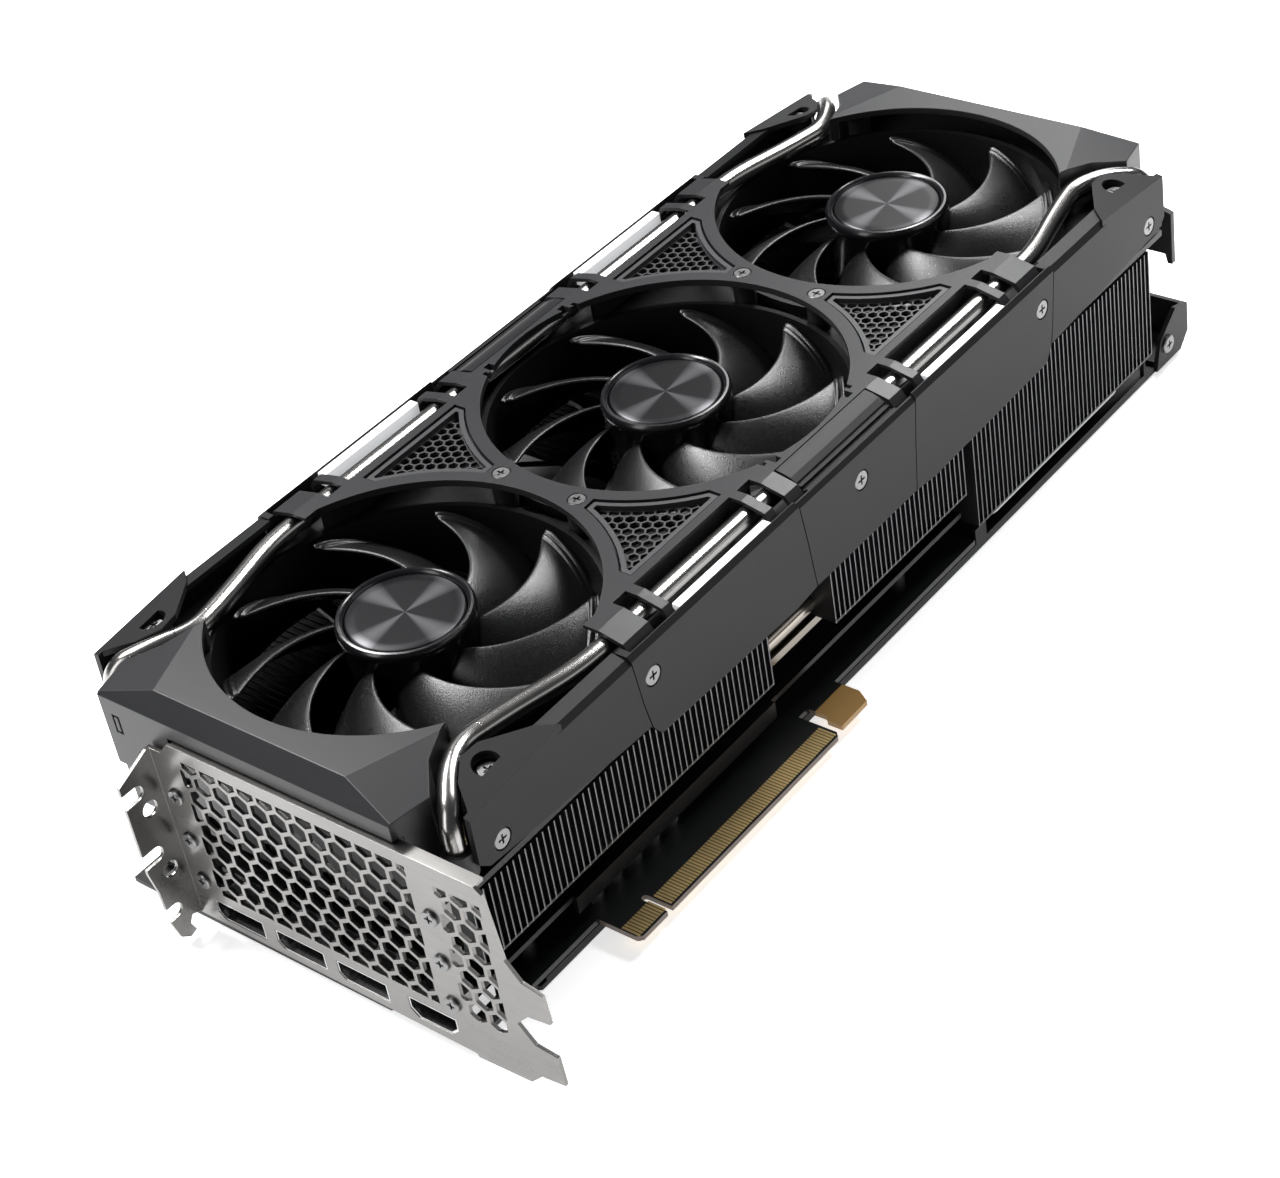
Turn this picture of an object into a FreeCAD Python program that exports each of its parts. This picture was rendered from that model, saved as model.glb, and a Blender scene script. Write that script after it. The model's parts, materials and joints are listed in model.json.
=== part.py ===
import FreeCAD, Part
import math
import os

# Three-fan graphics card, in millimetres, lying on its backplate with the fans facing up.
# While it is drawn, x runs from the outer face of the slot bracket to the far end,
# y = 0 is the line through the three fan axes, with the slot contacts towards -Y,
# and z = 0 is the underside of the backplate. Every shape is moved on export so that
# the origin lies on the backplate's underside, below the middle fan's axis.

V = FreeCAD.Vector
Z = V(0, 0, 1)
X = V(1, 0, 0)
Y = V(0, 1, 0)

# overall
midFanX = 165.9
fanPitch = 104.9
fanX = [midFanX - fanPitch, midFanX, midFanX + fanPitch]
topZ = 73.0
sideY = 61.9
seam = 0.3
farEndX = 334.0

# board and plates
backplateT = 1.5
boardZ = 2.9
boardT = 1.57
boardTop = boardZ + boardT
boardX = (2.5, 218.0)
boardY = (-58.0, 56.0)
midFrameZ = (13.0, 14.5)
finFloorZ = 22.6
finTopZ = 44.0
rearFinZ = 8.5
finPitch = 2.15
finT = 0.45
finSideY = 59.0
pipeR = 3.0
pipeZ = 26.6
pipeYs = [-50, -30, -10, 10, 30, 50]

# fans
fanTrayZ = (44.5, 46.3)
shelfZ = (61.0, 62.4)
shelfY = 59.0
ductR = (48.9, 50.4)
ductTop = 65.2
bladeCount = 9
bladeTipR = 47.6
bladeTop = 64.4
hubR = 17.3
hubRimR = 17.66
hubBottom = 47.0
hubTop = 70.2
shaftR = 1.5
bearingGap = 0.03
bearingR = 4.0

# shroud
openingR = 49.2
frameT = 2.0
tubeR = 2.8
tubeY = 51.6
tubeZ = 68.4
channelY = 46.5

# slot bracket
sheetT = 1.0
bracketTop = 63.6
bracketTopLow = 59.7
bracketBottom = 3.6
flangeY = 32.3
flangeReach = 11.5
tabPitch = 20.32
hexPitch = 6.32
hexFlat = 5.15


# ---------------------------------------------------------------- shape helpers
def box(x0, x1, y0, y1, z0, z1):
    return Part.makeBox(x1 - x0, y1 - y0, z1 - z0, V(x0, y0, z0))


def cyl(r, x, y, z0, z1):
    return Part.makeCylinder(r, z1 - z0, V(x, y, z0), Z)


def rod(r, start, end):
    a = V(*start)
    b = V(*end)
    return Part.makeCylinder(r, (b - a).Length, a, b - a)


def ring(rIn, rOut, x, y, z0, z1):
    return cyl(rOut, x, y, z0, z1).cut(cyl(rIn, x, y, z0 - 1, z1 + 1))


def placePoint(plane, a, b, depth):
    if plane == "xy":
        return V(a, b, depth)
    if plane == "xz":
        return V(a, depth, b)
    return V(depth, a, b)


def prism(plane, points, low, high):
    # straight-sided solid: an outline in a plane, thickened along the third axis
    corners = [placePoint(plane, a, b, low) for a, b in points]
    face = Part.Face(Part.makePolygon(corners + [corners[0]]))
    return face.extrude(placePoint(plane, 0, 0, high - low))


def roundedPlate(x0, x1, y0, y1, z0, z1, r):
    plate = box(x0, x1, y0, y1, z0, z1)
    upright = [e for e in plate.Edges if abs(e.tangentAt(e.FirstParameter).z) > 0.9]
    return plate.makeFillet(r, upright)


def join(parts):
    whole = parts[0].multiFuse(parts[1:]) if len(parts) > 1 else parts[0]
    return whole.removeSplitter()


def flipY(shape):
    return shape.mirror(V(0, 0, 0), Y)


def flipEnds(shape):
    # the shroud's two ends mirror each other about the middle fan
    return shape.mirror(V(midFanX, 0, 0), X)


def rounded(points, r):
    # wire along straight runs, with a tangent arc of radius r at each inner point,
    # or with the widest arc that its two runs leave room for when r is 0
    pts = [V(*p) for p in points]
    edges = []
    start = pts[0]
    for before, corner, after in zip(pts, pts[1:], pts[2:]):
        into = (corner - before).normalize()
        out = (after - corner).normalize()
        half = into.getAngle(out) / 2
        room = min((corner - before).Length, (after - corner).Length) * 0.45
        bend = r if r else min(room, 8.0) / math.tan(half)
        cut = bend * math.tan(half)
        a = corner - into * cut
        b = corner + out * cut
        bisector = (out - into).normalize()
        centre = corner + bisector * (bend / math.cos(half))
        mid = centre - bisector * bend
        edges.append(Part.makeLine(start, a))
        edges.append(Part.Arc(a, mid, b).toShape())
        start = b
    edges.append(Part.makeLine(start, pts[-1]))
    return Part.Wire(edges)


def tube(points, r, bend):
    path = rounded(points, bend)
    heading = V(*points[1]) - V(*points[0])
    section = Part.Wire(Part.makeCircle(r, V(*points[0]), heading))
    return path.makePipeShell([section], True, True)


def screw(x, y, z, direction, headR, headT, shankR, shankL):
    # z-axis screw turned to its direction, with a cross recess in a low domed head
    head = Part.makeCylinder(headR, headT, V(0, 0, -headT))
    head = head.makeChamfer(headT * 0.35, [head.Edges[0]])
    slotA = box(-headR * 0.5, headR * 0.5, -0.3, 0.3, -0.7, 0.1)
    slotB = box(-0.3, 0.3, -headR * 0.5, headR * 0.5, -0.7, 0.1)
    shank = Part.makeCylinder(shankR, shankL, V(0, 0, -headT - shankL))
    body = head.cut(slotA).cut(slotB).fuse(shank)
    turn = FreeCAD.Rotation(Z, V(*direction))
    body.Placement = FreeCAD.Placement(V(x, y, z), turn)
    return body


nodes = {}


def add(name, shape):
    nodes[name] = shape


# ---------------------------------------------------------------- slot bracket and sockets
portWidth = 16.6
portStarts = [24.6, 3.9, -16.8]
portZ = (6.3, 12.3)
hdmiY = (-55.6, -40.2)
bracketScrewY = (26.4, -56.2)
bracketScrewZ = (18.2, 31.9, 46.1)
flangeHoleZ = (23.9, 43.9)
flangeHoleX = -5.0
flangeHoleR = 2.3
flangeNotchZ = (11.5, 11.5 + tabPitch - 1.2, 50.4)


def portOutline(y0, y1, z0, z1, nip):
    return [(y0, z0), (y1 - nip, z0), (y1, z0 + nip), (y1, z1), (y0, z1)]


def hdmiOutline(grow):
    y0, y1 = hdmiY[0] - grow, hdmiY[1] + grow
    z0, z1 = 6.2 - grow, 12.4 + grow
    return [(y0 + 2.4, z0), (y1 - 2.4, z0), (y1, z0 + 2.2), (y1, z1), (y0, z1), (y0, z0 + 2.2)]


def hexagon(y, z, flat):
    r = flat / math.sqrt(3)
    angles = [math.radians(30 + 60 * k) for k in range(6)]
    return [(y + r * math.cos(a), z + r * math.sin(a)) for a in angles]


def honeycomb(y0, y1, z0, z1):
    # hexagonal vents, cut off square along the edge of their field
    rowPitch = hexPitch * math.sqrt(3) / 2
    rows = int((z1 - z0) / rowPitch) + 2
    columns = int((y1 - y0) / hexPitch) + 2
    cells = []
    for row in range(rows):
        for column in range(columns):
            y = y0 + column * hexPitch + (hexPitch / 2 if row % 2 else 0)
            z = z1 - 0.2 - row * rowPitch
            cell = prism("yz", hexagon(y, z, hexFlat), -2, sheetT + 2)
            field = box(-2, sheetT + 2, y0, y1, z0, z1)
            piece = cell.common(field)
            if piece.Volume > 12:
                cells.append(piece)
    return cells


def makeBracket():
    tabLow = 17.1 - 4.5
    outline = [
        (flangeY, bracketBottom + 1.0), (-60.0, bracketBottom), (-60.6, 2.6), (-76.9, 3.4),
        (-80.8, 7.3), (-88.0, 8.2), (-87.4, tabLow + 4.5), (-81.0, 17.7), (-76.7, 22.7),
        (-80.7, 26.9), (-87.6, 28.0), (-87.0, 36.7), (-81.2, 37.9), (-77.2, 43.0),
        (-75.0, bracketTop - 1.6), (-73.0, bracketTop), (24.0, bracketTop),
        (27.5, bracketTopLow), (flangeY, bracketTopLow)]
    plate = prism("yz", outline, 0, sheetT)
    cuts = honeycomb(-51.5, 21.8, 15.6, 59.6)
    cuts += honeycomb(-73.4, -59.6, 16.4, 57.6)
    for start in portStarts:
        opening = portOutline(start - portWidth, start, portZ[0], portZ[1], 2.0)
        cuts.append(prism("yz", opening, -1, sheetT + 1))
    cuts.append(prism("yz", hdmiOutline(0), -1, sheetT + 1))
    for y in bracketScrewY:
        for z in bracketScrewZ:
            cuts.append(rod(1.6, (-1, y, z), (sheetT + 1, y, z)))
    plate = plate.cut(Part.makeCompound(cuts))
    # folded-back top lip
    lip = box(0, 3.6, -72.8, 23.5, bracketTop - sheetT, bracketTop)
    # flange that lies against the case and takes the case screws
    flange = prism("xz", [
        (sheetT, 4.6), (sheetT, bracketTopLow), (-1.0, bracketTopLow), (-flangeReach, 55.2),
        (-flangeReach, 27.0), (-10.2, 20.0), (-9.6, 8.4), (-8.2, 3.0), (-5.6, 0.9), (-3.2, 1.6),
        (-4.4, 4.6), (-3.2, 6.6), (-1.4, 6.0)], flangeY - sheetT, flangeY)
    notches = []
    for z in flangeNotchZ:
        round_ = rod(2.2, (-7.4, flangeY - 3, z), (-7.4, flangeY + 2, z))
        mouth = box(-flangeReach - 1, -7.4, flangeY - 3, flangeY + 2, z - 2.2, z + 2.2)
        notches += [round_, mouth]
    for z in flangeHoleZ:
        notches.append(rod(flangeHoleR, (flangeHoleX, flangeY - 3, z), (flangeHoleX, flangeY + 2, z)))
    flange = flange.cut(Part.makeCompound(notches))
    # ears that the bracket screws reach into
    ears = []
    for y in bracketScrewY:
        inner = 3.0 if y > 0 else -3.0
        for z in bracketScrewZ:
            ear = box(sheetT, 4.4, y - 2.6, y + 2.6, z - 2.6, z + 2.6)
            ears.append(ear.cut(rod(1.6, (0, y, z), (6, y, z))))
    return join([plate, lip, flange] + ears)


def makeBracketScrews():
    screws = []
    for y in bracketScrewY:
        for z in bracketScrewZ:
            screws.append(screw(-0.9, y, z, (-1, 0, 0), 2.3, 0.85, 1.45, 4.6))
    return Part.makeCompound(screws)


def makeDisplayPort(start):
    # drawn steel shell round a deep socket
    outer = portOutline(start - portWidth, start, portZ[0], portZ[1], 2.0)
    y0, y1 = start - portWidth + 0.5, start - 0.5
    inner = portOutline(y0, y1, portZ[0] + 0.5, portZ[1] - 0.5, 1.7)
    shell = prism("yz", outer, 0.2, 17.5)
    return shell.cut(prism("yz", inner, -1, 14.0))


def makeHdmiPort():
    shell = prism("yz", hdmiOutline(0), 0.2, 13.5)
    return shell.cut(prism("yz", hdmiOutline(-0.5), -1, 11.0))


def makePortTongues():
    # contact tongues that stand inside the four sockets
    tongues = []
    for start in portStarts:
        y0, y1 = start - portWidth + 2.6, start - 2.6
        tongues.append(box(2.4, 14.0, y0, y1, 8.6, 10.4))
    tongues.append(box(2.0, 11.0, hdmiY[0] + 3.0, hdmiY[1] - 3.0, 8.9, 10.5))
    return Part.makeCompound(tongues)


# ---------------------------------------------------------------- board
fingerX = (48.3, 133.0)
fingerEdgeY = -71.3
keyX = (59.0, 60.9)
gpuX = 140.0
postXY = [(30, -50), (14, 48), (92, -50), (92, 48), (190, -50), (206, 48)]
coolerScrewOff = 27
coolerScrewXY = [(gpuX + i * coolerScrewOff, j * coolerScrewOff) for i in (-1, 1) for j in (-1, 1)]


def makeBoard():
    board = box(boardX[0], boardX[1], boardY[0], boardY[1], boardZ, boardTop)
    fingers = prism("xy", [
        (fingerX[0], boardY[0] + 1), (fingerX[0], fingerEdgeY + 1.2), (fingerX[0] + 1.2, fingerEdgeY),
        (fingerX[1] - 1.2, fingerEdgeY), (fingerX[1], fingerEdgeY + 1.2),
        (fingerX[1], boardY[0] + 1)], boardZ, boardTop)
    hook = prism("xy", [
        (137.0, boardY[0] + 1), (137.0, -64.0), (135.6, -65.4), (135.6, -70.0), (147.0, -70.0),
        (149.4, -66.0), (149.4, boardY[0] + 1)], boardZ, boardTop)
    board = board.fuse([fingers, hook])
    key = box(keyX[0], keyX[1], fingerEdgeY - 1, fingerEdgeY + 7.6, boardZ - 1, boardTop + 1)
    key = key.fuse(cyl(0.95, sum(keyX) / 2, fingerEdgeY + 7.6, boardZ - 1, boardTop + 1))
    cuts = [key]
    for x, y in postXY + coolerScrewXY:
        cuts.append(cyl(1.6, x, y, boardZ - 1, boardTop + 1))
    # corner cut back beside the bracket's screw flange
    cuts.append(box(0, 9, 50, 60, boardZ - 1, boardTop + 1))
    return board.cut(Part.makeCompound(cuts)).removeSplitter()


def makeContacts():
    # gold fingers on both faces of the board, 1 mm apart
    padT = 0.08
    pads = []
    xs = [fingerX[0] + 0.75 + k for k in range(11)]
    xs += [keyX[1] + 0.85 + k for k in range(71)]
    for x in xs:
        for z in (boardTop, boardZ - padT):
            pads.append(box(x - 0.35, x + 0.35, fingerEdgeY + 0.7, fingerEdgeY + 6.2, z, z + padT))
    return Part.makeCompound(pads)


def makeGpu():
    half = 22.5
    carrier = box(gpuX - half, gpuX + half, -half, half, boardTop, boardTop + 1.6)
    die = box(gpuX - 12.5, gpuX + 12.5, -13.5, 13.5, boardTop + 1.6, boardTop + 2.4)
    return carrier.fuse(die)


chipL = 14.0
chipW = 12.0
chipT = 1.2


def makeMemory():
    # two rows and two columns round the processor
    chips = []
    for y in (-33.0, 33.0):
        for x in (gpuX - 24, gpuX - 8, gpuX + 8):
            chips.append(box(x, x + chipL, y - chipW / 2, y + chipW / 2, boardTop, boardTop + chipT))
    for y in (-19.0, -4.0, 11.0):
        for x in (gpuX - 38, gpuX + 29):
            chips.append(box(x, x + chipW, y, y + chipL - 1, boardTop, boardTop + chipT))
    return Part.makeCompound(chips)


def inductor(x, y):
    half = 3.8
    top = boardTop + 6.4
    body = roundedPlate(x - half, x + half, y - half, y + half, boardTop, top, 1.0)
    return body.cut(cyl(1.6, x, y, top - 0.5, top + 1))


def powerStage(x, y):
    return box(x - 2.5, x + 2.5, y - 3.0, y + 3.0, boardTop, boardTop + 1.0)


def capacitor(x, y):
    can = cyl(3.1, x, y, boardTop, boardTop + 7.6)
    return can.makeFillet(0.5, [can.Edges[0]])


powerSocketX = (176.0, 197.5)
phasePitch = 9.6
stageOffset = 8.5
# the two columns of power phases: x, lowest y, count
phaseColumns = ((74.0, -36.0, 8), (190.0, -31.0, 7))


def phaseParts(offset, make):
    parts = []
    for x, y, count in phaseColumns:
        parts += [make(x + offset, y + k * phasePitch) for k in range(count)]
    return Part.makeCompound(parts)


def makeInductors():
    return phaseParts(0, inductor)


def makePowerStages():
    return phaseParts(stageOffset, powerStage)


def makeCapacitors():
    pitch = 7.6
    cans = [capacitor(65.0, -34.0 + k * pitch) for k in range(9)]
    cans += [capacitor(207.0, -31.0 + k * pitch) for k in range(8)]
    cans += [capacitor(54.0 + k * pitch, -51.8) for k in range(5)]
    return Part.makeCompound(cans)


def makePowerSocket():
    # twelve power ways with four sense ways beside them
    x0, x1 = powerSocketX
    body = box(x0, x1, 44.0, 57.5, boardTop, boardTop + 8.6)
    cuts = []
    for i in range(6):
        for j in range(2):
            x = x0 + 2.0 + i * 3.0
            z = boardTop + 2.1 + j * 3.4
            cuts.append(box(x, x + 2.3, 48.0, 60.0, z, z + 2.4))
    body = body.cut(Part.makeCompound(cuts))
    latch = box((x0 + x1) / 2 - 3, (x0 + x1) / 2 + 3, 50.0, 57.5, boardTop + 8.6, boardTop + 9.8)
    pins = []
    for i in range(6):
        for j in range(2):
            x = x0 + 3.15 + i * 3.0
            z = boardTop + 3.3 + j * 3.4
            pins.append(rod(0.45, (x, 47.5, z), (x, 56.0, z)))
    return join([body, latch] + pins)


# ---------------------------------------------------------------- backplate side
windowX = (230.0, 306.0)
windowY = 54.0


def makeBackplate():
    sheet = prism("xy", [
        (2.0, -30.0), (26.0, -58.0), (322.0, -58.0), (330.0, -50.0), (330.0, 56.0), (326.0, 60.0),
        (2.0, 60.0)], 0, backplateT)
    rail = box(28.0, 312.0, -58.0, -56.6, backplateT, 7.4)
    farRail = box(12.0, 312.0, 58.6, 60.0, backplateT, 7.4)
    window = roundedPlate(windowX[0], windowX[1], -windowY, windowY, -1, 3, 6.0)
    cuts = [window, box(20.0, boardX[1] + 0.6, -59.0, -56.5, boardZ - 0.4, 9.0)]
    cuts.append(box(powerSocketX[0] - 3, powerSocketX[1] + 3, 57.6, 61.0, boardZ - 0.6, 9.0))
    # low stretch of the near rail, which leaves the gap under the rear fins open
    cuts.append(box(224.0, 311.0, -59.0, -56.5, 2.6, 9.0))
    for x, y in postXY:
        cuts.append(cyl(1.5, x, y, -1, 3))
        cuts.append(cyl(2.9, x, y, -1, 1.0))
    for x, y in coolerScrewXY:
        cuts.append(cyl(4.2, x, y, -1, 3))
    # long stamped grooves in the underside
    for y in (-24.0, 0.0, 24.0):
        cuts.append(box(28.0, 96.0, y - 1.2, y + 1.2, -1, 0.4))
    whole = join([sheet, rail, farRail])
    return whole.cut(Part.makeCompound(cuts)).removeSplitter()


def makeBackplateScrews():
    screws = [screw(x, y, 0.1, (0, 0, -1), 2.6, 0.85, 1.25, 4.0) for x, y in postXY]
    return Part.makeCompound(screws)


def makeCoolerScrews():
    # shouldered screws that pull the cold plate onto the processor
    return Part.makeCompound([screw(x, y, 0.6, (0, 0, -1), 3.4, 1.6, 1.4, 6.8) for x, y in coolerScrewXY])


endScrewXZ = (321.6, 8.2)


def makeEndBracket():
    # bent steel corner that braces the far end, screwed to the backplate's rails
    end = box(farEndX - 1.4, farEndX, -58.6, 58.6, 1.6, 15.6)
    cheek = prism("xz", [
        (315.5, 1.6), (farEndX - 4.5, 1.6), (farEndX, 6.0), (farEndX, 15.6), (327.0, 17.6), (318.0, 11.0)],
        -59.9, -58.5)
    floorTab = box(318.0, farEndX, -58.5, -46.0, 1.6, 3.0)
    x, z = endScrewXZ
    hole = rod(1.5, (x, -61, z), (x, -56, z))
    near = cheek.fuse(floorTab).cut(hole)
    cut = box(farEndX - 3, farEndX + 1, -40.0, 40.0, 6.0, 16.5)
    return join([end.cut(cut), near, flipY(near)])


# ---------------------------------------------------------------- cooler
def makeMidFrame():
    z0, z1 = midFrameZ
    plate = box(8.0, 216.0, -55.5, 55.0, z0, z1)
    posts = []
    for x, y in postXY:
        posts.append(ring(1.3, 3.0, x, y, boardTop, z0 + 0.5))
    skirt = box(44.0, 126.0, -56.8, -55.4, 9.4, z1)
    plate = join([plate, skirt] + posts)
    window = box(gpuX - 41.5, gpuX + 43.5, -43.0, 43.0, z0 - 1, z1 + 1)
    socketGap = box(powerSocketX[0] - 1, powerSocketX[1] + 1, 43.0, 56.0, z0 - 1, z1 + 1)
    leadGap = box(129.0, 147.0, 48.0, 56.0, z0 - 1, z1 + 1)
    return plate.cut(Part.makeCompound([window, socketGap, leadGap]))


def makeColdPlate():
    # nickelled base: contact plate below, pipe carrier above, joined by ribs
    x0, x1 = gpuX - 40.0, gpuX + 42.0
    contact = box(x0, x1, -41.0, 41.0, boardTop + 3.0, boardTop + 6.0)
    pedestal = box(gpuX - 15, gpuX + 15, -16, 16, boardTop + 2.4, boardTop + 3.0)
    carrier = box(x0, x1, -52.5, 52.5, finFloorZ - 2.4, finFloorZ - 0.1)
    ribs = [box(x0, x1, y - 1.5, y + 1.5, boardTop + 6.0, finFloorZ - 2.4) for y in (-39.5, -20, 0, 20, 39.5)]
    holes = [cyl(1.45, x, y, boardTop, boardTop + 6.4) for x, y in coolerScrewXY]
    return join([contact, pedestal, carrier] + ribs).cut(Part.makeCompound(holes))


def makeThermalPads():
    # soft pads between the memory and the contact plate
    pads = []
    for chip in makeMemory().Solids:
        b = chip.BoundBox
        pads.append(box(b.XMin + 0.5, b.XMax - 0.5, b.YMin + 0.5, b.YMax - 0.5, b.ZMax, boardTop + 3.0))
    return Part.makeCompound(pads)


pipeX = (13.0, 313.0)


def makeHeatPipes():
    pipes = []
    for y in pipeYs:
        body = rod(pipeR, (pipeX[0], y, pipeZ), (pipeX[1], y, pipeZ))
        pipes.append(body.makeFillet(2.2, [body.Edges[0], body.Edges[2]]))
    return Part.makeCompound(pipes)


def makeFins(x0, x1, zFloor, openFloor):
    # thin upright fins standing on a soldered floor sheet
    count = int((x1 - x0 - finT) / finPitch) + 1
    floorT = 0.7
    comb = [(x0, zFloor)]
    lastEdge = x0 + (count - 1) * finPitch + finT
    comb.append((lastEdge, zFloor))
    for k in reversed(range(count)):
        left = x0 + k * finPitch
        comb += [(left + finT, finTopZ), (left, finTopZ)]
        if k:
            comb += [(left, zFloor + floorT), (left - finPitch + finT, zFloor + floorT)]
    block = prism("xz", comb, -finSideY, finSideY)
    holes = [rod(pipeR + 0.02, (x0 - 2, y, pipeZ), (x1 + 2, y, pipeZ)) for y in pipeYs]
    if openFloor:
        for y0, y1 in ((-53.0, -4.0), (4.0, 53.0)):
            holes.append(box(x0 - 1, x1 + 1, y0, y1, zFloor - 1, zFloor + floorT))
    return block.cut(Part.makeCompound(holes))


# ---------------------------------------------------------------- fans
strutAngles = (75, 165, 255, 345)
leadAngles = (60, 120, 120)


def makeFanTray():
    # one moulding: deck, three ducts, a shelf that the trim sits on,
    # and under each fan a motor seat on four struts
    z0, z1 = fanTrayZ
    deck = box(9.0, 323.0, -58.5, 58.5, z0, z1)
    shelf = box(19.0, 2 * midFanX - 19.0, -shelfY, shelfY, shelfZ[0], shelfZ[1])
    capRoom = prism("xy", capOutline(-0.3), shelfZ[0] - 1, shelfZ[1] + 1)
    shelf = shelf.cut(capRoom).cut(flipEnds(capRoom))
    cuts = []
    ducts = []
    for x in fanX:
        cuts.append(cyl(ductR[0], x, 0, z0 - 1, ductTop + 1))
        ducts.append(cyl(ductR[1], x, 0, z0, ductTop))
    cuts.append(box(131.0, 145.0, 53.5, 58.0, z0 - 1, z1 + 1))
    for x, angle in zip(fanX, leadAngles):
        cuts.append(rod(leadR + 0.25, around(x, 47.0, angle, leadZ), around(x, 52.0, angle, leadZ)))
    tray = join([deck, shelf] + ducts).cut(Part.makeCompound(cuts))
    seats = []
    for x in fanX:
        seats.append(cyl(16.4, x, 0, z0, z1))
        seats.append(ring(bearingR, bearingR + 1.2, x, 0, z1 - 0.1, 50.0))
        for angle in strutAngles:
            strut = box(x + 15.5, x + ductR[0] + 0.6, -1.8, 1.8, z0, z1)
            strut.rotate(V(x, 0, 0), Z, angle)
            seats.append(strut)
    return join([tray] + seats)


def makeStators():
    # laminated core with nine wound poles round each bearing
    stators = []
    for x in fanX:
        core = ring(bearingR + 1.25, 7.6, x, 0, 51.0, 61.0)
        poles = []
        for k in range(9):
            arm = box(x + 7.0, x + 12.0, -1.6, 1.6, 51.5, 60.5)
            shoe = box(x + 11.6, x + 12.9, -3.0, 3.0, 51.0, 61.0)
            pole = arm.fuse(shoe)
            pole.rotate(V(x, 0, 0), Z, 40 * k)
            poles.append(pole)
        collar = ring(bearingR, bearingR + 1.25, x, 0, 50.0, 61.0)
        stators.append(join([core, collar] + poles))
    return Part.makeCompound(stators)


def makeBearings():
    z0, z1 = fanTrayZ[1], 62.5
    return Part.makeCompound([ring(shaftR + bearingGap, bearingR, x, 0, z0, z1) for x in fanX])


def bladeSection(r, centreAngle, chord, drop, zLead, thick):
    # curved section in the plane square to the radius, leading edge first
    turn = math.radians(centreAngle)
    out = V(math.cos(turn), math.sin(turn), 0)
    along = V(-math.sin(turn), math.cos(turn), 0)
    upper = []
    lower = []
    for k in range(7):
        t = k / 6
        s = chord * (0.5 - t)
        bulge = 0.16 * drop * 4 * t * (1 - t)
        z = zLead - drop * t + bulge
        half = thick * (0.25 + 0.75 * math.sin(math.pi * min(1, 0.12 + t * 0.88))) / 2
        upper.append(out * r + along * s + Z * (z + half))
        lower.append(out * r + along * s + Z * (z - half))
    top = Part.BSplineCurve()
    top.interpolate(upper)
    under = Part.BSplineCurve()
    under.interpolate(lower[::-1])
    nose = Part.makeLine(lower[0], upper[0])
    tail = Part.makeLine(upper[-1], lower[-1])
    return Part.Wire([top.toShape(), tail, under.toShape(), nose])


def makeBlade():
    # forward-swept blade: the high leading edge runs ahead, anticlockwise seen from above
    sections = []
    for k in range(5):
        u = k / 4
        r = 15.5 + u * 33.5
        chord = 11.5 + 15.5 * u
        drop = 14.5 - 2.0 * u
        lead = 1.45 * (r - hubR)
        half = math.degrees(chord / 2 / r)
        sections.append(bladeSection(r, lead - half, chord, drop, bladeTop, 1.7 - 0.5 * u))
    blade = Part.makeLoft(sections, True, False)
    sleeve = ring(16.6, bladeTipR, 0, 0, 45, 72)
    return blade.common(sleeve)


def makeHub():
    # cup over the motor, open below, with a rounded rim standing round the cap disc
    outline = [
        V(shaftR, 0, 65.6), V(15.9, 0, 65.6), V(15.9, 0, hubBottom), V(hubR, 0, hubBottom),
        V(hubR, 0, 66.4), V(hubRimR, 0, 66.8), V(hubRimR, 0, 69.0), V(17.3, 0, 69.8), V(16.6, 0, hubTop),
        V(15.9, 0, 69.9), V(15.55, 0, 69.2), V(15.55, 0, 68.0), V(shaftR, 0, 68.0)]
    face = Part.Face(Part.makePolygon(outline + [outline[0]]))
    return face.revolve(V(0, 0, 0), Z, 360)


def makeRotor():
    blade = makeBlade()
    blades = []
    for k in range(bladeCount):
        copy = blade.copy()
        copy.rotate(V(0, 0, 0), Z, 360 / bladeCount * k)
        blades.append(copy)
    return makeHub().multiFuse(blades)


def moved(shape, x):
    copy = shape.copy()
    copy.translate(V(x, 0, 0))
    return copy


def addFans():
    rotor = makeRotor()
    cap = cyl(15.5, 0, 0, 68.05, 69.7)
    cap = cap.makeFillet(0.3, [cap.Edges[0]])
    magnet = ring(13.7, 15.9, 0, 0, 50.5, 63.0)
    shaft = cyl(shaftR, 0, 0, fanTrayZ[1] + 0.4, 68.0)
    for number, x in enumerate(fanX, 1):
        add("fan_rotor_%d" % number, moved(rotor, x))
        add("hub_cap_%d" % number, moved(cap, x))
        add("magnet_ring_%d" % number, moved(magnet, x))
        add("fan_shaft_%d" % number, moved(shaft, x))


leadDrops = ((134.0, 54.6), (138.0, 56.0), (142.0, 54.6))
leadSides = ((100.0, 54.6), None, (230.0, 54.6))
leadZ = 47.4
leadR = 0.75
plugTop = boardTop + 5.0


def around(x, r, angle, z):
    # point at a radius and angle round a fan's axis
    a = math.radians(angle)
    return (x + r * math.cos(a), r * math.sin(a), z)


def makeLeadPlugs():
    # four-way fan plugs in their board headers
    return [box(x - 1.8, x + 1.8, y - 3.4, y + 1.2, boardTop, plugTop) for x, y in leadDrops]


def makeFanLeads():
    # thin leads along the tray, down through the gap between two fin stacks to their plugs
    leads = []
    for x, angle, side, (dropX, dropY) in zip(fanX, leadAngles, leadSides, leadDrops):
        route = [around(x, 18.5, angle, leadZ), around(x, 53.0, angle, leadZ)]
        if side:
            route.append((side[0], side[1], leadZ))
        route += [(dropX, dropY, leadZ), (dropX, dropY, plugTop)]
        leads.append(tube(route, leadR, 2.0))
    return Part.makeCompound(leads + makeLeadPlugs())


# ---------------------------------------------------------------- shroud
tubeEndXY = (12.4, -56.0)
tubeRoute = [
    (*tubeEndXY, 52.5), (*tubeEndXY, 65.6), (21.5, -48.4, tubeZ), (31.0, -43.6, tubeZ),
    (45.0, -46.2, tubeZ), (66.0, -tubeY, tubeZ)]


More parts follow.
